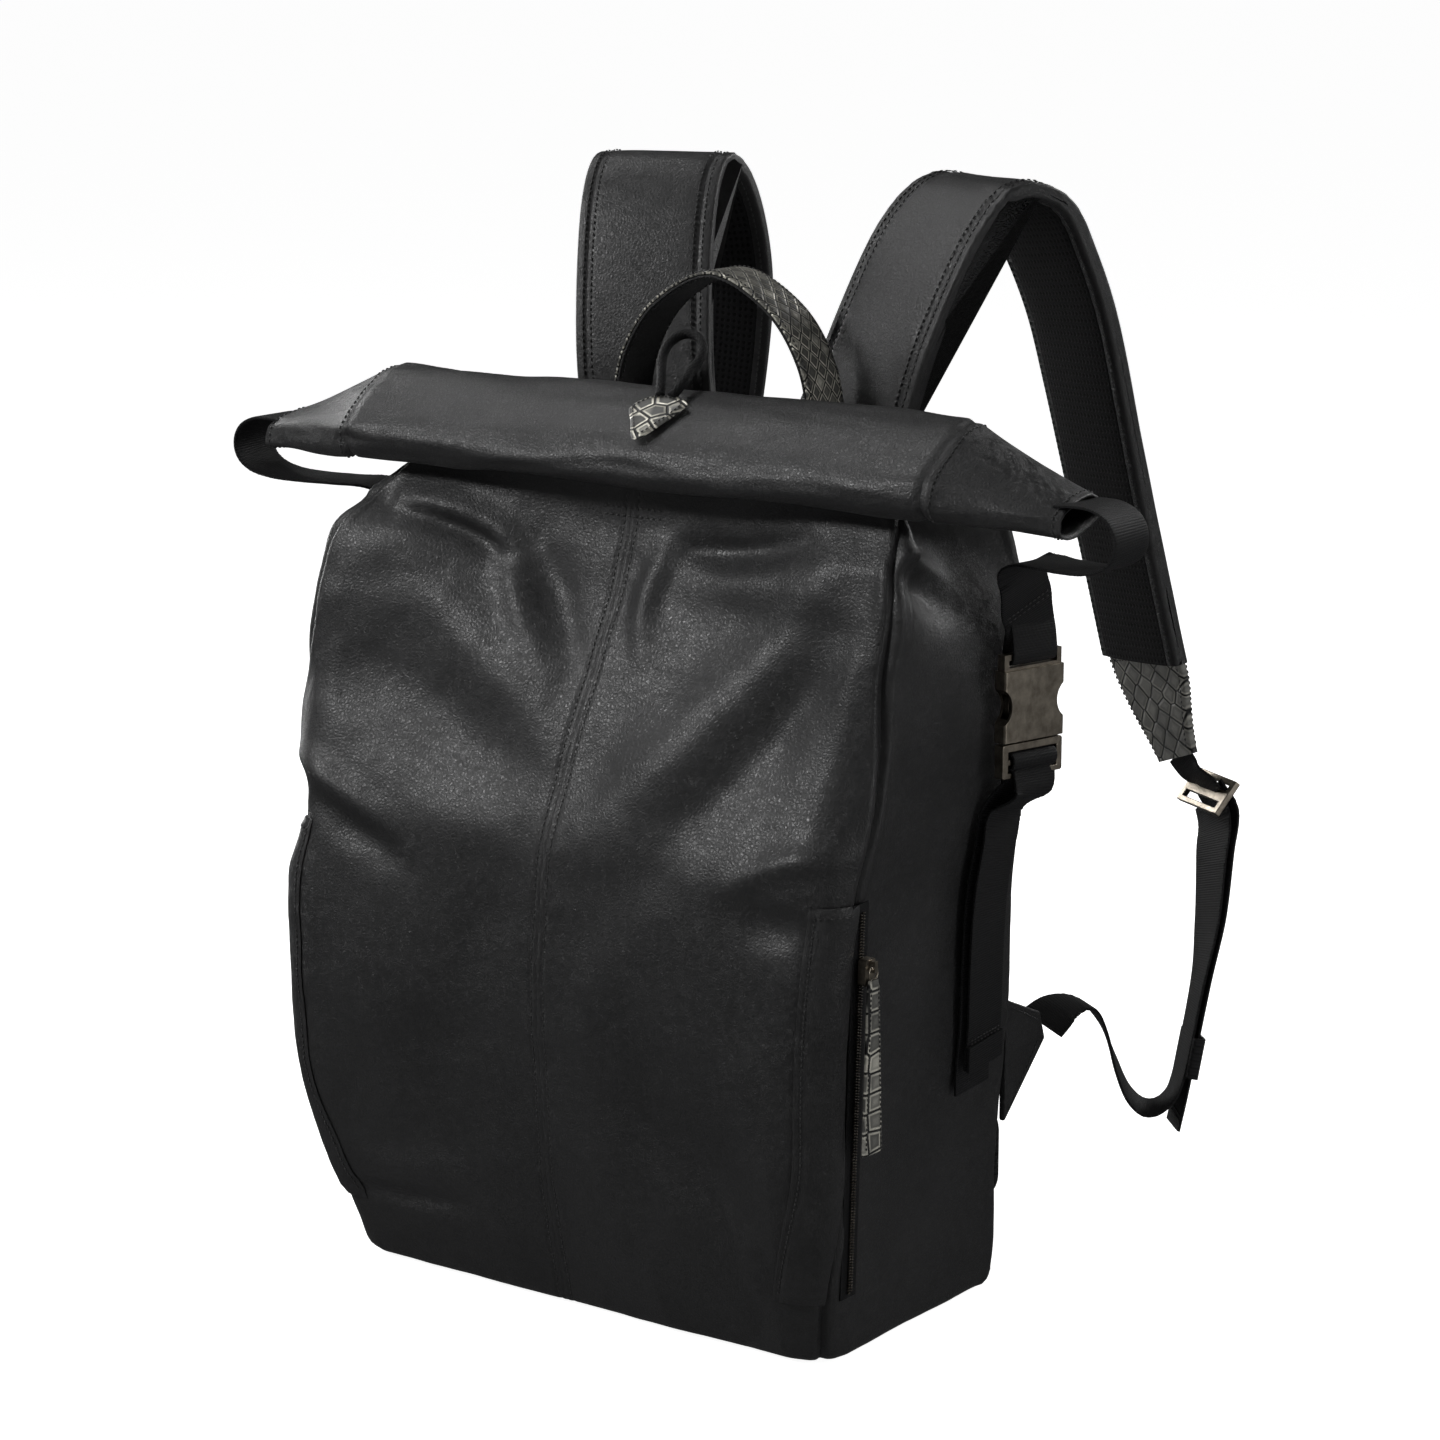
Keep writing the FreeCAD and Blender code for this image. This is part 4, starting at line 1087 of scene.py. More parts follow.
class BACKPACK_OT_inside(bpy.types.Operator):
    """Boards and laptop sleeve inside the bag"""
    bl_idname = "backpack.inside"
    bl_label = "Inside"

    def execute(self, context):
        def board(u, w):
            middle = girth(6.0)[3]
            side = 1 if u <= 0.5 else -1
            s = 2 * middle * (u if u <= 0.5 else 1 - u)
            p, _ = skin(side, s, 6.0, -8.0, plain=True)
            return Vector((p.x * w, p.y * w, 3.5 * MM)), p.x, p.y

        bm = loft(120, 8, board, caps=False)
        outward(bm, Vector((0, 0, -1)))
        thicken(bm, 2.4 * MM)
        settle("base_board_sheet", bm, "bag", "board", board_finish(), ("base_board",))
        low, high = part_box("back_board")
        bm = bmesh.new()
        bmesh.ops.create_cube(bm, size=1.0)
        for v in bm.verts:
            height = 8.0 * MM if v.co.z < 0 else 396.0 * MM
            v.co = Vector((math.copysign(150.0 * MM, v.co.x), low.y if v.co.y < 0 else high.y, height))
        uprights = [e for e in bm.edges if abs(e.verts[0].co.z - e.verts[1].co.z) < 1e-6]
        bmesh.ops.bevel(bm, geom=uprights, affect="EDGES", offset=0.5 * MM, segments=1, profile=0.5,
                        material=-1)
        settle("back_board_sheet", bm, "bag", "board", board_finish(), ("back_board",))
        dressed("laptop_sleeve", cloth_finish("sleeve cloth"), 0.6)
        return {"FINISHED"}


# ---- webbing and buckles --------------------------------------------------------------------------
WEB_WIDTH = 30.0
WALL_FOOT, WALL_LEAN, WALL_HEIGHT = 150.0, 20.0, 392.0      # the side panel's half width, and how far it leans out


def side_wall(z):
    """Where the plain side panel stands at height z."""
    return WALL_FOOT + WALL_LEAN * z / WALL_HEIGHT


def web(name, points, across, body, replaces, width=WEB_WIDTH, slot="webbing", along=150, thickness=None):
    """A piece of webbing along given points. across gives its width direction at each."""
    route = Route([Vector(p) * MM for p in points], [Vector(a) for a in across])
    thickness = thickness or sizes().web_thickness
    bm = strip(route, width * MM, thickness, 28, along, power=7.0)
    piece = settle(name, bm, body, slot, webbing_finish(), replaces)
    return piece, route


def hem(name, route, at, body, rows, width=WEB_WIDTH):
    """Stitched rows across a folded end of webbing, on both faces."""
    runs = []
    for w in rows:
        p, _, across, up = route.at(at + w)
        for face in (-1, 1):
            run = [(p + across * x * MM + up * face * sizes().web_thickness / 2, up * face)
                   for x in range(int(-width / 2) + 2, int(width / 2) - 1, 2)]
            runs.append(run)
    return stitches(name, runs, body, 2.6 * MM, "webbing")


class BACKPACK_OT_buckles(bpy.types.Operator):
    """Side fastening: webbing loops of the roll, metal side-release buckles, anchored webs and loose tails"""
    bl_idname = "backpack.buckles"
    bl_label = "Side buckles"

    def execute(self, context):
        socket_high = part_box("buckle_socket_right")[1]
        plug_low, plug_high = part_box("buckle_plug_right")
        bx, by = (plug_low.x + plug_high.x) / 2 / MM, (plug_low.y + plug_high.y) / 2 / MM
        rim = socket_high.z / MM
        foot = plug_low.z / MM
        turn = math.radians(14)
        for word, side in SIDES:
            face = Vector((side * math.sin(turn), math.cos(turn), 0))
            y_axis = Vector((0, 1, 0))
            points = [(236, -7, 420.5), (246, -7, 421.2), (256, -7, 420.4), (264.5, -7, 416.0), (268.6, -7,
                                                                                                 408.5),
                      (267.5, -6.5, 400.0), (261, -5, 393.6), (250, -2, 390.0), (236, 3, 388.4), (220, 9.5,
                                                                                                  387.6),
                      (205, 17, 386.6), (194, 24, 383.0), (188.5, 31, 376.5), (185.5, 37, 366.0),
                      (bx + 1.5, by - 5, 356.0), (bx + 0.4, by - 1, rim + 11.0)]
            points = [(side * x, y, z) for x, y, z in points]
            across = [y_axis] * 10 + [y_axis.lerp(face, k / 5) for k in range(1, 7)]
            _, route = web(f"roll_loop_{word}", points, across, "roll", (f"roll_web_{word}",), along=190)
            hem(f"roll_loop_{word}_thread", route, 0.93, "roll", (0.0, -0.018))
            # each fold's points stand off the metal's face, and up from its rim or foot
            folds = (("socket_fold", "roll", rim, [(0.9, 15), (2.2, 10), (3.1, 4), (3.6, -1.2), (2.4, -4.3), (0, -4.9),
                                                   (-2.4, -4.3), (-3.6, -1.2), (-3.1, 4), (-2.0, 10), (-0.5,
                                                                                                       15)]),
                     ("plug_fold", f"plug_{word}", foot, [(-3.4, -5), (-2.8, 1.5), (0.5, 4.3), (3.6, 5.0),
                                                          (4.9, 8.2),
                                                          (3.6, 11.4), (0.5, 12.2), (-3.0, 11.6), (-4.8, 7),
                                                          (-5.0, 0)]))
            out = Vector((side * math.cos(turn), -math.sin(turn), 0))
            for name, rider, level, points in folds:
                path = [Vector((side * bx, by, level)) + out * off + Vector((0, 0, rise)) for off,
                        rise in points]
                web(f"{name}_{word}", path, [face] * len(path), rider, (), width=29.0, along=60)
            for node in ("buckle_socket", "buckle_plug"):
                dressed(f"{node}_{word}", metal_finish(), 0.55)
            for node in ("prong_rear", "prong_front"):
                dressed(f"{node}_{word}", metal_finish("dark nickel", 0.5), 0.3)
            self.lower(word, side, bx, by, foot, face)
        self.patch()
        return {"FINISHED"}

    def lower(self, word, side, bx, by, foot, face):
        y_axis = Vector((0, 1, 0))
        points = [(side_wall(116) + 0.2, 42, 114), (side_wall(128) + 0.6, 41, 128), (side_wall(150) + 2.2,
                                                                                     39.5, 150),
                  (side_wall(178) + 2.6, 38, 178), (side_wall(214) + 2.6, 38, 214), (side_wall(240) + 3.4,
                                                                                     42, 240),
                  (side_wall(258) + 5.0, 46, 258), (bx - 2.0, by, foot - 3.0)]
        across = [y_axis] * 6 + [y_axis.lerp(face, 0.5), face]
        points = [(side * x, y, z) for x, y, z in points]
        route = Route([Vector(p) * MM for p in points], [Vector(a) for a in across])
        bm = strip(route, WEB_WIDTH * MM, sizes().web_thickness, 28, 120, power=7.0)
        piece = settle(f"anchored_web_{word}", bm, None, "webbing", webbing_finish(), (f"lower_web_{word}",))
        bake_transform(piece)
        tail = [(side_wall(128) + 4.6, 42.5, 128), (side_wall(133) + 4.8, 42, 133), (side_wall(150) + 6.4,
                                                                                     40.5, 150),
                (side_wall(180) + 7.0, 38, 180), (side_wall(214) + 7.2, 38, 214), (side_wall(240) + 8.2,
                                                                                   41.5, 240),
                (side_wall(256) + 9.0, 45.5, 256), (bx + 3.0, by - 1, 266), (bx + 3.4, by, foot + 1.5),
                (bx + 2.0, by, foot + 5.2), (bx - 1.0, by, foot + 5.4)]
        across = [y_axis] * 6 + [y_axis.lerp(face, k / 5) for k in range(1, 6)]
        tail = [(side * x, y, z) for x, y, z in tail]
        _, route = web(f"tail_web_{word}_strip", tail, across, f"plug_{word}", (f"tail_web_{word}",), along=150)
        fold = [(side * (side_wall(z) + 6.8 + 0.25 * (z - 128) * 0.1), 42.3 - (z - 128) * 0.1,
                 z) for z in (127.5, 134, 141)]
        web(f"tail_hem_{word}", fold, [y_axis] * 3, f"plug_{word}", (), width=30.4, along=14,
            thickness=2.4 * MM)
        hem(f"tail_web_{word}_thread", route, 0.085, f"plug_{word}", (0.0, 0.012))

    def patch(self):
        """Snakeskin patch on the right side panel, half under the webbing."""
        low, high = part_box("side_patch")
        mid_y, mid_z = (low.y + high.y) / 2, (low.z + high.z) / 2
        half_y, half_z = (high.y - low.y) / 2, (high.z - low.z) / 2

        def place(u, w):
            x, z = rounded(u, half_y, half_z, 7.0)
            x, z = x * w, z * w
            crown = 1.2 * MM * (1 - w ** 8)
            base = side_wall((mid_z + z) / MM) * MM
            return Vector((base + 0.1 * MM + crown, mid_y + x, mid_z + z)), x, z

        bm = loft(60, 12, place, caps=False)
        settle("side_patch_skin", bm, "bag", "snakeskin", snake_finish("patch snakeskin", 0.0115, 0.8, 1.0,
                                                                       0.3),
               ("side_patch",))
        run = []
        for k in range(73):
            x, z = rounded(k / 72, half_y - 2.2 * MM, half_z - 2.2 * MM, 9.0)
            base = side_wall((mid_z + z) / MM) * MM
            run.append((Vector((base + 1.2 * MM, mid_y + x, mid_z + z)), Vector((1, 0, 0))))
        stitches("side_patch_thread", [run], "bag", 2.6 * MM, "snakeskin")


# ---- handle, straps and their webs ----------------------------------------------------------------
class BACKPACK_OT_handle(bpy.types.Operator):
    """Snakeskin grab handle with a dark leather underside"""
    bl_idname = "backpack.handle"
    bl_label = "Grab handle"

    def execute(self, context):
        low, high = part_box("handle")
        y, top, half = (low.y + high.y) / 2 / MM, high.z / MM, high.x / MM
        outline = [(-half + 4.5, 409), (-half + 2.5, 418), (-half + 2.2, 436), (-half * 0.86, 465),
                   (-half * 0.55, 491),
                   (0, top - 2.4), (half * 0.55, 491), (half * 0.86, 465), (half - 2.2, 436), (half - 2.5, 418),
                   (half - 4.5, 409)]
        points = [Vector((x, y, z)) * MM for x, z in outline]
        route = Route(points, [Vector((0, 1, 0))] * len(points), 120)
        for name, shift, wide, thick, finish, slot in (
                ("handle_snakeskin", 0.9, 30.0, 1.7, snake_finish("handle snakeskin", 0.0060, 1.2, 1.1, 0.16),
                 "snakeskin"),
                ("handle_backing", -0.7, 29.6, 1.7, leather_finish(), "black_leather")):
            def shape(x, h, w, shift=shift):
                crown = 0.7 * MM * (1 - (x / (15 * MM)) ** 2)
                return x, h + shift * MM + crown * 0.6

            bm = strip(route, wide * MM, thick * MM, 36, 150, shape, power=6.0)
            piece = settle(name, bm, None, slot, finish, ("handle",) if shift > 0 else ())
            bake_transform(piece)
        runs = []
        for edge in (-1, 1):
            for face, reach in ((-1, 1.55), (1, 1.95)):
                run = []
                for k in range(121):
                    p, _, across, up = route.at(0.03 + 0.94 * k / 120)
                    run.append((p + across * edge * 12.8 * MM + up * face * reach * MM, up * face))
                runs.append(run)
        piece = stitches("handle_thread", runs, None, 2.8 * MM, "snakeskin")
        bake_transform(piece)
        return {"FINISHED"}


# routes of the straps and webs: x outwards, y, z, and how many degrees the width is turned to the front
STRAP = {
    1: [((54, 76.5, 404), 5), ((57, 77, 424), 9), ((64.5, 78.5, 447), 13), ((74, 86, 482), 15),
        ((86, 100, 522), 15), ((96, 115, 543.5), 16), ((106, 130, 548.5), 18), ((115, 146, 539), 20),
        ((123, 157, 515), 23), ((131, 165.5, 484), 25), ((137, 173, 446), 26.5), ((144, 181, 400), 27.5),
        ((152, 189, 352), 28), ((160.5, 195.2, 306), 28)],
    -1: [((65, 76.5, 404), 5), ((67.5, 77, 424), 9), ((73, 79.5, 450), 13), ((80, 88, 484), 14),
         ((88, 102, 524), 15), ((94, 117, 547), 16), ((97, 131, 552.5), 16), ((97.5, 146, 543), 16),
         ((97, 158, 519), 17), ((99, 167, 487), 18), ((107, 174, 450), 20), ((120, 181, 404), 24),
         ((138, 189, 354), 27), ((158.5, 195.2, 306), 28)],
}
STRAP_END = [((159.5, 194.6, 312), 28), ((163.5, 196.4, 300), 28), ((170, 198, 281), 28), ((180, 198.4, 256),
                                                                                           28)]
SHORT_WEB = [((180, 198.2, 258), 28), ((187, 199, 250), 28), ((194, 200, 244), 29), ((199, 200.5, 238), 29)]
DROP_WEB = [((199, 201.5, 240), 30), ((206, 199, 230), 30), ((209, 191, 212), 32), ((213, 180, 180), 38),
            ((213.5, 171, 148), 50), ((209, 160, 96), 50), ((207, 158, 82), 50), ((206, 156.5, 74), 50)]
SLACK_WEB = [((197.5, 201.5, 236), 30), ((203.5, 196, 224), 31), ((206.5, 188.5, 208), 33),
             ((210.5, 178.5, 178), 39),
             ((211, 169.5, 148), 50), ((207, 159, 100), 52), ((201.5, 154.5, 86), 58), ((193, 150, 82.5), 60),
             ((185, 146, 90), 60), ((179, 142.5, 106), 58), ((174, 139, 124), 50), ((167, 133, 137), 34),
             ((159, 123, 137), 10), ((153.5, 112, 129.5), -6)]


def strap_route(table, side, count=90):
    points = [mirror(Vector(p), side) * MM for p, _ in table]
    return Route(points, [mirror(yaw(turn), side) * side for _, turn in table], count)


class BACKPACK_OT_straps(bpy.types.Operator):
    """Padded shoulder straps, their snakeskin ends, adjusters, webs, keepers and anchor tabs"""
    bl_idname = "backpack.straps"
    bl_label = "Shoulder straps"

    def execute(self, context):
        for word, side in SIDES:
            body = f"strap_{word}"
            route = strap_route(STRAP[side], side, 140)
            self.padded_strap(word, side, body, route)
            self.end(word, side, body)
            self.webs(word, side, body)
            self.anchor(word)
        return {"FINISHED"}

    def padded_strap(self, word, side, body, route):
        s = sizes()
        half, thick = 37.5 * MM, s.strap_thickness / 2
        groove_at = half - s.binding

        def shape(x, h, w):
            share = abs(x) / half
            if h < 0:
                edge = math.exp(-((abs(x) - groove_at) / (1.3 * MM)) ** 2)
                h = -min(abs(h), thick * (1 - 0.30 * share ** 3)) + edge * 1.3 * MM
                h += 0.25 * MM * noise.noise(Vector((x * 60, w * 16, side)))
            else:
                h = min(h, thick * 0.86)
            return x, h

        bm = strip(route, 2 * half, 2 * thick, 76, 190, shape, power=5.5)
        piece = settle(f"strap_{word}_leather", bm, None, "black_leather", leather_finish(),
                       (f"shoulder_strap_{word}",), 70)
        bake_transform(piece)

        def pad_shape(x, h, w):
            crown = 1.2 * MM * (1 - (x / (groove_at + 1 * MM)) ** 2)
            return x, thick * 0.86 - 0.9 * MM + h + crown

        bm = strip(route, 2 * (groove_at + 0.5 * MM), 2.6 * MM, 48, 170, pad_shape, power=6.0)
        pad = settle(f"strap_{word}_mesh", bm, None, "air_mesh", mesh_finish(), (), 70)
        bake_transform(pad)
        runs = []
        rows = ((-1, groove_at + 2.2 * MM, thick * 0.78), (-1, groove_at - 2.4 * MM, thick * 0.90),
                (1, groove_at + 3.2 * MM, thick * 0.86 + 0.1 * MM))
        for edge in (-1, 1):
            for face, x, lift in rows:
                run = []
                for k in range(161):
                    p, _, across, up = route.at(0.005 + 0.99 * k / 160)
                    run.append((p + across * edge * x + up * face * lift, up * face))
                runs.append(run)
        thread = stitches(f"strap_{word}_thread", runs, None)
        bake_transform(thread)

    def end(self, word, side, body):
        route = strap_route(STRAP_END, side, 40)

        def width(w):
            return (74.0 - 36.0 * smoothstep(0.05, 1.0, w) * w ** 0.35) * MM

        bm = strip(route, width, 5.6 * MM, 48, 60, power=4.5)
        settle(f"strap_{word}_snake_end", bm, body, "snakeskin",
               snake_finish("strap end snakeskin", 0.0115, 0.8, 0.30, 0.32, body=1.9), (f"strap_end_{word}",))
        runs = []
        for face in (-1, 1):
            for edge in (-1, 1):
                run = []
                for k in range(41):
                    w = 0.08 + 0.86 * k / 40
                    p, _, across, up = route.at(w)
                    run.append((p + across * edge * (width(w) / 2 - 2.6 * MM) + up * face * 2.7 * MM,
                                up * face))
                runs.append(run)
            run = []
            for k in range(21):
                p, _, across, up = route.at(0.1)
                run.append((p + across * (width(0.1) - 5.5 * MM) * (k / 20 - 0.5) + up * face * 2.7 * MM,
                            up * face))
            runs.append(run)
        stitches(f"strap_{word}_end_thread", runs, body, 2.9 * MM, "snakeskin")

    def webs(self, word, side, body):
        for name, table, replaces, along in (("short_web", SHORT_WEB, (), 30),
                                             ("drop_web", DROP_WEB, (f"adjust_web_{word}",), 150)):
            route = strap_route(table, side)
            bm = strip(route, WEB_WIDTH * MM, sizes().web_thickness, 28, along, power=7.0)
            settle(f"{name}_{word}", bm, body, "webbing", webbing_finish(), replaces)
            if name == "drop_web":
                hem(f"drop_web_{word}_thread", route, 0.965, body, (0.0, -0.016))
        route = strap_route(SLACK_WEB, side, 140)
        bm = strip(route, 29.5 * MM, sizes().web_thickness, 28, 220, power=7.0)
        slack = settle(f"slack_web_{word}", bm, None, "webbing", webbing_finish())
        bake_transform(slack)
        dressed(f"adjuster_{word}", metal_finish(), 0.55)
        low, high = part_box(f"keeper_{word}")
        mid = (low + high) / 2
        a, b = Vector((209 * side, 160, 94)), Vector((213.5 * side, 171, 148))
        d = (b - a).normalized()
        route = Route([mid - d * 11 * MM, mid, mid + d * 11 * MM], [mirror(yaw(50), side) * side] * 3, 10)

        def ring(u, w):
            if w < 0.5:
                x, h = rounded(u, 17.6 * MM, 3.6 * MM, 6.0)
                t = w * 2
            else:
                x, h = rounded(u, 15.9 * MM, 2.2 * MM, 6.0)
                t = 2 - w * 2
            p, _, across, up = route.at(t)
            return p + across * x + up * h, x, t * route.length

        bm = loft(48, 21, ring, caps=False)
        bmesh.ops.remove_doubles(bm, verts=bm.verts, dist=1e-6)
        rims = [e for e in bm.edges if e.is_boundary]
        bmesh.ops.bridge_loops(bm, edges=rims)
        bmesh.ops.recalc_face_normals(bm, faces=bm.faces)
        settle(f"keeper_{word}_elastic", bm, BODY_OF[f"keeper_{word}"], "elastic",
               webbing_finish("elastic", 1.2, 1.9), (f"keeper_{word}",))

    def anchor(self, word):
        dressed(f"anchor_tab_{word}", leather_finish(), 1.1)
        low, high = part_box(f"anchor_tab_{word}")
        runs = []
        for face, x in ((1, high.x), (-1, low.x)):
            y0, y1 = low.y + 3 * MM, high.y - 7 * MM
            runs.append([(Vector((x, y0 + (y1 - y0) * k / 20, (147.0 - 14.0 * k / 20) * MM)), Vector((face, 0, 0)))
                         for k in range(21)])
            runs.append([(Vector((x, y0 + (y1 - y0) * k / 20, (92.0 + 31.0 * k / 20) * MM)), Vector((face, 0, 0)))
                         for k in range(21)])
        stitches(f"anchor_{word}_thread", runs, "bag", 2.8 * MM)


class BACKPACK_OT_back(bpy.types.Operator):
    """Padded air-mesh back and the leather patch over the straps' feet"""
    bl_idname = "backpack.back"
    bl_label = "Back padding"

    def execute(self, context):
        low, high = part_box("back_pads")
        front, rear = low.y, high.y
        split, gap, channel = 104.0 * MM, 9.0 * MM, 36.0 * MM
        half = high.x
        areas = [("back_pad_right", channel / 2, half, split, high.z),
                 ("back_pad_left", -half, -channel / 2, split, high.z),
                 ("back_pad_lumbar", -half + 1 * MM, half - 1 * MM, low.z, split - gap)]
        for index, (name, x0, x1, z0, z1) in enumerate(areas):
            mid = Vector(((x0 + x1) / 2, front, (z0 + z1) / 2))
            a, b = (x1 - x0) / 2, (z1 - z0) / 2

            def place(u, w, mid=mid, a=a, b=b):
                x, z = walk(u, a, b, 16 * MM)
                r = math.sin(w * math.pi / 2) ** 0.8
                depth = (rear - front) * (1 - w ** 5) ** 0.5
                channel_dip = 0.0
                if b > 80 * MM:
                    for row_z in (-0.45, 0.1, 0.6):
                        channel_dip += 3.0 * MM * math.exp(-((z * r - row_z * b) / (4 * MM)) ** 2) * (1 - w ** 4)
                return Vector((mid.x + x * r, mid.y + max(0.0, depth - channel_dip), mid.z + z * r)), x * r, z * r

            bm = loft(220, 40, place, caps=False)
            bmesh.ops.holes_fill(bm, edges=[e for e in bm.edges if e.is_boundary], sides=0)
            bmesh.ops.recalc_face_normals(bm, faces=bm.faces)
            piece = settle(name, bm, "bag", "air_mesh", mesh_finish(), ("back_pads",) if index == 0 else (), 70)
        dressed("strap_patch", leather_finish(), 0.7)
        low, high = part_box("strap_patch")
        runs = []
        for z in (low.z + 2.5 * MM, high.z - 2.5 * MM):
            runs.append([(Vector((low.x + 3 * MM + (high.x - low.x - 6 * MM) * k / 60, high.y, z)), Vector((0, 1, 0)))
                         for k in range(61)])
        stitches("strap_patch_thread", runs, "bag")
        return {"FINISHED"}


# ---- cord puller ------------------------------------------------------------------------------------
# the cord's route from the roll's middle, in millimetres: out of the tab, up and back over the roll, and in again
CORD_ROUTE = [(5.5, 0.7, 21.2), (0.0, 9.5, 28.8), (-9.0, 21.0, 35.4), (-12.0, 30.0, 41.8), (-11.0, 38.0, 46.0),
              (-4.8, 41.0, 47.2), (4.0, 38.0, 44.1), (10.0, 30.0, 38.0), (10.5, 20.0, 31.8), (14.0, 8.5, 27.2),
              (12.5, 0.9, 21.3)]
CORD_DIAMETER = 5.0 * MM


class BACKPACK_OT_cord(bpy.types.Operator):
    """Braided cord loop and the snakeskin tab that holds it to the roll"""
    bl_idname = "backpack.cord"
    bl_label = "Cord puller"

    def execute(self, context):
        route = [ROLL_MID + Vector(p) * MM for p in CORD_ROUTE]
        data = bpy.data.curves.new("cord_route", "CURVE")
        data.dimensions = "3D"
        data.resolution_u = 12
        line = data.splines.new("NURBS")
        line.points.add(len(route) - 1)
        for point, p in zip(line.points, route):
            point.co = (*p, 1.0)
        line.order_u = 3
        line.use_endpoint_u = True
        holder = bpy.data.objects.new("cord_route", data)
        bpy.context.scene.collection.objects.link(holder)
        bpy.context.view_layer.update()
        sampled = bpy.data.meshes.new_from_object(holder.evaluated_get(bpy.context.evaluated_depsgraph_get()))
        path = [v.co.copy() for v in sampled.vertices]
        bpy.data.objects.remove(holder)
        reach = reaches(path)
        total = reach[-1]
        radius = CORD_DIAMETER / 2
        lay = 7.5 * MM

        def at(w):
            goal, j = w * total, 0
            while j < len(path) - 2 and reach[j + 1] < goal:
                j += 1
            t = (goal - reach[j]) / (reach[j + 1] - reach[j])
            low, high = max(j - 1, 0), min(j + 2, len(path) - 1)
            return path[j].lerp(path[j + 1], t), (path[high] - path[low]).normalized()

        def place(u, w):
            p, along = at(w)
            side = along.cross(Vector((0.35, -0.2, 1))).normalized()
            up = side.cross(along)
            a = 2 * math.pi * u
            twist = 2 * math.pi * w * total / lay
            braid = abs(math.sin(4 * a + twist)) * abs(math.sin(4 * a - twist))
            r = radius * (0.85 + 0.15 * braid ** 0.5)
            return p + (side * math.cos(a) + up * math.sin(a)) * r, a * radius, w * total

        bm = loft(48, 330, place)
        cord = settle("cord_puller_loop", bm, "roll", "braided_cord", webbing_finish("cord braid", 0.9, 1.0),
                      ("cord_loop",), 180)
        tuple(path[0])
        [tuple(p) for p in path]
        self.tab()
        return {"FINISHED"}

    def tab(self):
        outline = [(-14.5, 3.0), (-10.5, 10.0), (-6.0, 13.2), (3.0, 14.5), (11.0, 12.8), (16.3, 10.0), (16.6,
                                                                                                        6.4),
                   (10.5, -7.0), (4.6, -17.6), (1.0, -18.6), (-1.4, -17.0), (-8.0, -7.0)]
        ring = [Vector((x, y, 0)) for x, y in outline]
        middle = sum(ring, Vector()) / len(ring)
        tilt = Matrix.Rotation(ROLL_TILT, 4, "X")

        def edge(share):
            t = share * len(ring)
            i = int(t) % len(ring)
            near = [ring[(i + k) % len(ring)] for k in (-1, 0, 1, 2)]
            return spline(near, 1 / 3 + (t - int(t)) / 3) - middle

        def place(u, w):
            r = math.sin(w * math.pi)
            q = middle + edge(u) * r ** 0.55
            rise = 16.0 - math.cos(w * math.pi) * 1.7 * (1 - 0.35 * r)
            world = ROLL_MID + (tilt @ Vector((7.0 + q.x, q.y, rise))) * MM
            return world, q.x * MM, q.y * MM

        bm = loft(72, 40, place, caps=False)
        bmesh.ops.recalc_face_normals(bm, faces=bm.faces)
        settle("cord_tab_skin", bm, "roll", "snakeskin", snake_finish("tab snakeskin", 0.012, 0.75, 1.6, 0.45),
               ("cord_tab",))
        run = []
        for k in range(97):
            q = middle + edge(k / 96) * 0.82
            world = ROLL_MID + (tilt @ Vector((7.0 + q.x, q.y, 17.25))) * MM
            run.append((world, tilt @ Vector((0, 0, 1))))
        stitches("cord_tab_thread", [run], "roll", 2.4 * MM, "snakeskin")


# ---- stage --------------------------------------------------------------------------------------
CAMERA_PLACE, CAMERA_TARGET = (1.17336, -1.56271, 0.71172), (0.03269, 0.00013, 0.29144)
# name, place, target, width and height, power
LIGHTS = (("key softbox", (-1.31, -1.50, 1.70), (0, 0, 0.30), (0.60, 0.50), 38),
          ("right softbox", (2.1, 0.1, 0.7), (0, 0, 0.25), (0.35, 1.2), 9),
          ("top softbox", (-0.75, 0.1, 1.75), (0, 0, 0.42), (0.6, 0.45), 5.5),
          ("left rim", (-1.7, 0.5, 0.7), (0, 0, 0.3), (0.3, 1.2), 12),
          ("back softbox", (0.6, 2.0, 1.3), (0, 0, 0.3), (1.2, 0.9), 20))
ROOM_LIGHT, FLOOR_GLOW = 0.06, 0.93


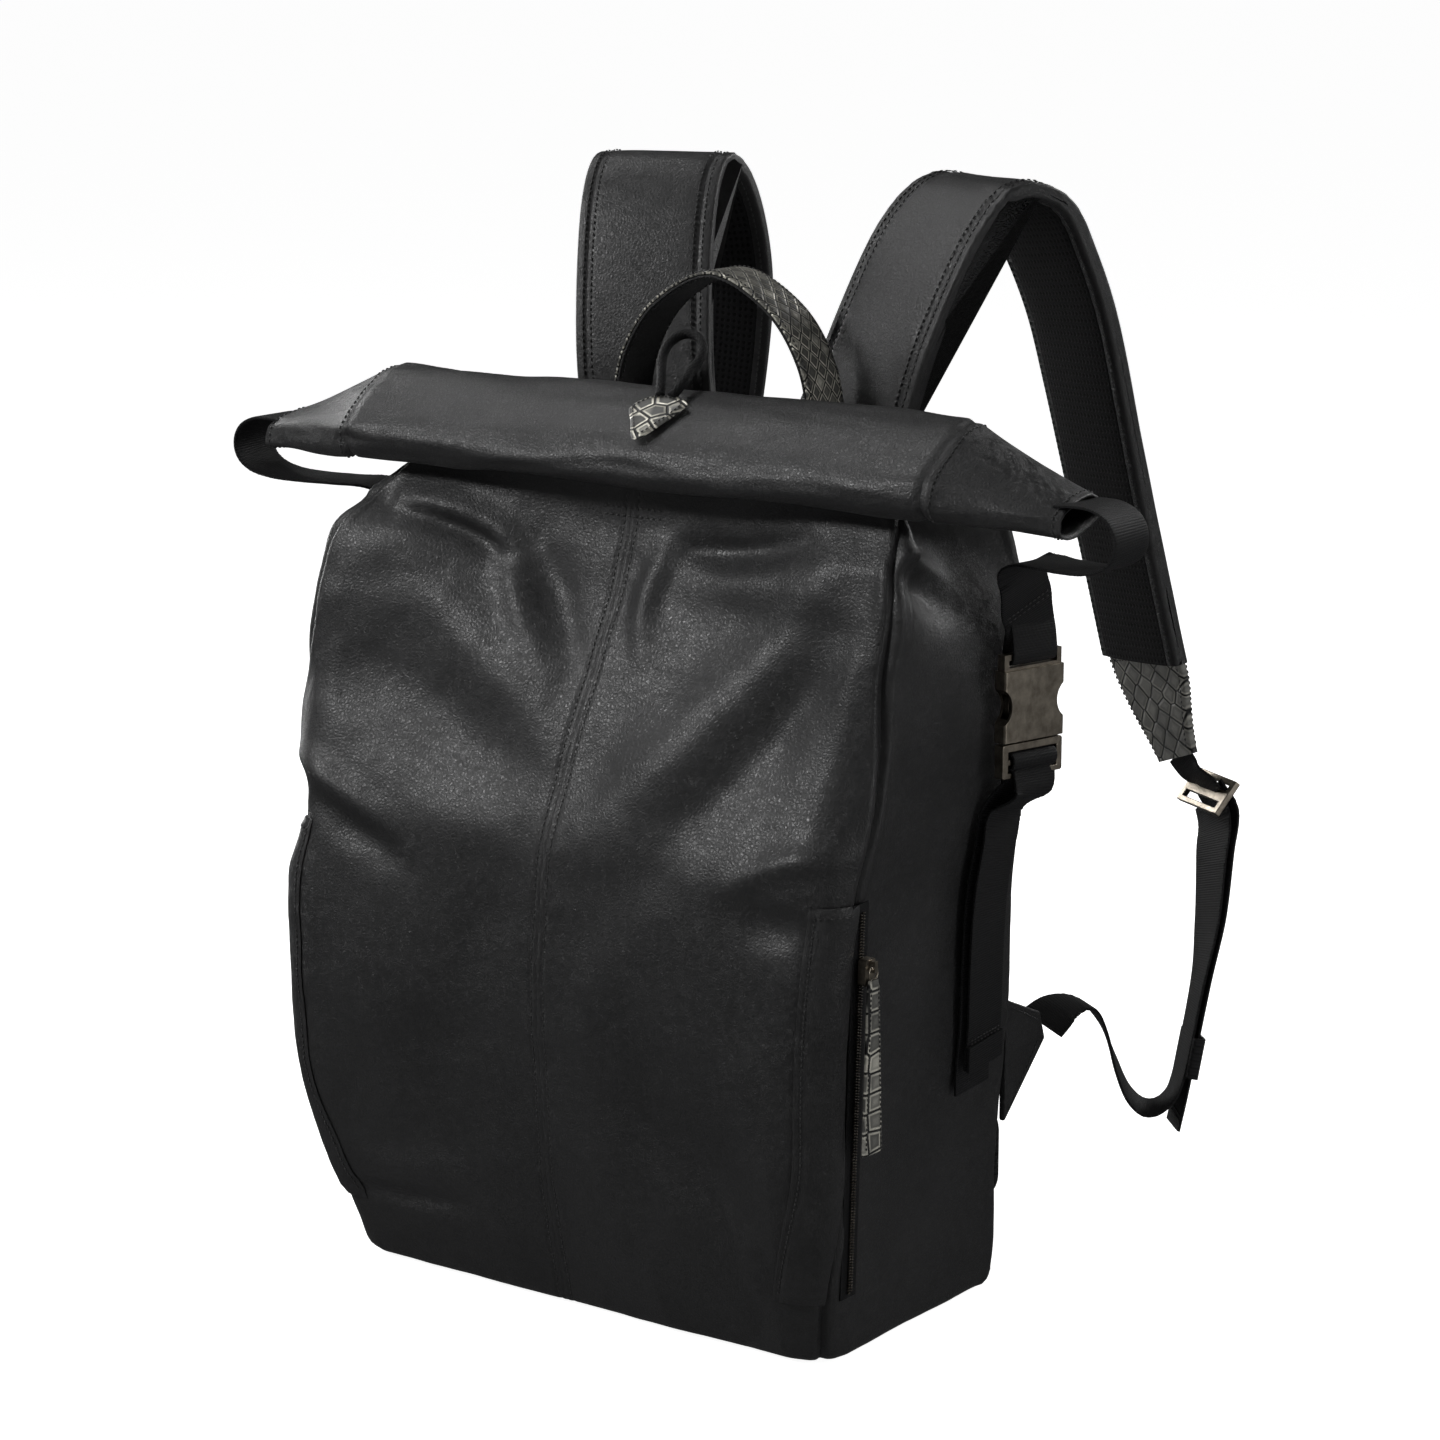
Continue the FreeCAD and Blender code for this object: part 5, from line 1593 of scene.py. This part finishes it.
class BACKPACK_OT_stage(bpy.types.Operator):
    """Pale floor, soft studio lights and the camera"""
    bl_idname = "backpack.stage"
    bl_label = "Stage"

    def light(self, name, place, target, size, power):
        data = bpy.data.lights.new(name, "AREA")
        data.shape, data.size, data.size_y, data.energy = "RECTANGLE", size[0], size[1], power
        lamp = bpy.data.objects.new(name, data)
        lamp.location = place
        lamp.rotation_euler = (Vector(target) - Vector(place)).to_track_quat("-Z", "Y").to_euler()
        bpy.context.scene.collection.objects.link(lamp)

    def sky(self, context):
        """White all round the view, and a dim room for the light."""
        world = bpy.data.worlds.new("studio")
        world.use_nodes = True
        nodes, links = world.node_tree.nodes, world.node_tree.links
        room = nodes["Background"]
        white = nodes.new("ShaderNodeBackground")
        room.inputs["Strength"].default_value, white.inputs["Strength"].default_value = ROOM_LIGHT, 1.0
        for shade in (room, white):
            shade.inputs["Color"].default_value = (1, 1, 1, 1)
        mix, path = nodes.new("ShaderNodeMixShader"), nodes.new("ShaderNodeLightPath")
        links.new(path.outputs["Is Camera Ray"], mix.inputs[0])
        links.new(room.outputs[0], mix.inputs[1])
        links.new(white.outputs[0], mix.inputs[2])
        links.new(mix.outputs[0], nodes["World Output"].inputs["Surface"])
        context.scene.world = world

    def execute(self, context):
        bm = bmesh.new()
        bmesh.ops.create_grid(bm, x_segments=2, y_segments=2, size=60.0)
        mesh = bpy.data.meshes.new("floor")
        bm.to_mesh(mesh)
        bm.free()
        floor = bpy.data.objects.new("floor", mesh)
        bpy.context.scene.collection.objects.link(floor)
        floor.visible_glossy = False
        paper = Finish("white floor")
        speck = paper.noise(paper.place(), 3.0)
        paper.set(Base_Color=paper.blend(speck, (0.80, 0.80, 0.80), (0.82, 0.82, 0.82)), Roughness=0.9,
                  Emission_Color=(1.0, 1.0, 1.0), Emission_Strength=FLOOR_GLOW)
        mesh.materials.append(paper.material)
        self.sky(context)
        for lamp in LIGHTS:
            self.light(*lamp)
        data = bpy.data.cameras.new("camera")
        data.lens, data.sensor_width = 100.0, 36.0
        camera = bpy.data.objects.new("camera", data)
        camera.location = CAMERA_PLACE
        target = Vector(CAMERA_TARGET)
        camera.rotation_euler = (target - camera.location).to_track_quat("-Z", "Y").to_euler()
        context.scene.collection.objects.link(camera)
        context.scene.camera = camera
        context.scene.view_settings.view_transform = "Standard"
        return {"FINISHED"}


class BACKPACK_PT_sidebar(bpy.types.Panel):
    """Every step of the backpack, in order"""
    bl_idname = "BACKPACK_PT_sidebar"
    bl_label = "Backpack"
    bl_space_type = "VIEW_3D"
    bl_region_type = "UI"
    bl_category = "Backpack"

    def draw(self, context):
        for step in STEPS:
            self.layout.operator(step.bl_idname)
        for group in (context.scene.backpack_sizes, context.scene.backpack_colours):
            for key in group.__annotations__:
                self.layout.prop(group, key)


STEPS = (BACKPACK_OT_stage, BACKPACK_OT_cord, BACKPACK_OT_panels, BACKPACK_OT_seams, BACKPACK_OT_pockets,
         BACKPACK_OT_roll, BACKPACK_OT_inside, BACKPACK_OT_buckles, BACKPACK_OT_handle, BACKPACK_OT_straps,
         BACKPACK_OT_back)
CLASSES = (BackpackSizes, BackpackColours, *STEPS, BACKPACK_PT_sidebar)


def register():
    for cls in CLASSES:
        bpy.utils.register_class(cls)
    bpy.types.Scene.backpack_sizes = PointerProperty(type=BackpackSizes)
    bpy.types.Scene.backpack_colours = PointerProperty(type=BackpackColours)


def unregister():
    del bpy.types.Scene.backpack_sizes
    del bpy.types.Scene.backpack_colours
    for cls in reversed(CLASSES):
        bpy.utils.unregister_class(cls)


def main():
    register()
    for step in STEPS:
        name = step.bl_idname.split(".")[1]
        if getattr(bpy.ops.backpack, name)() != {"FINISHED"}:
            raise RuntimeError(f"{step.bl_label} did not finish")


if __name__ == "__main__":
    main()
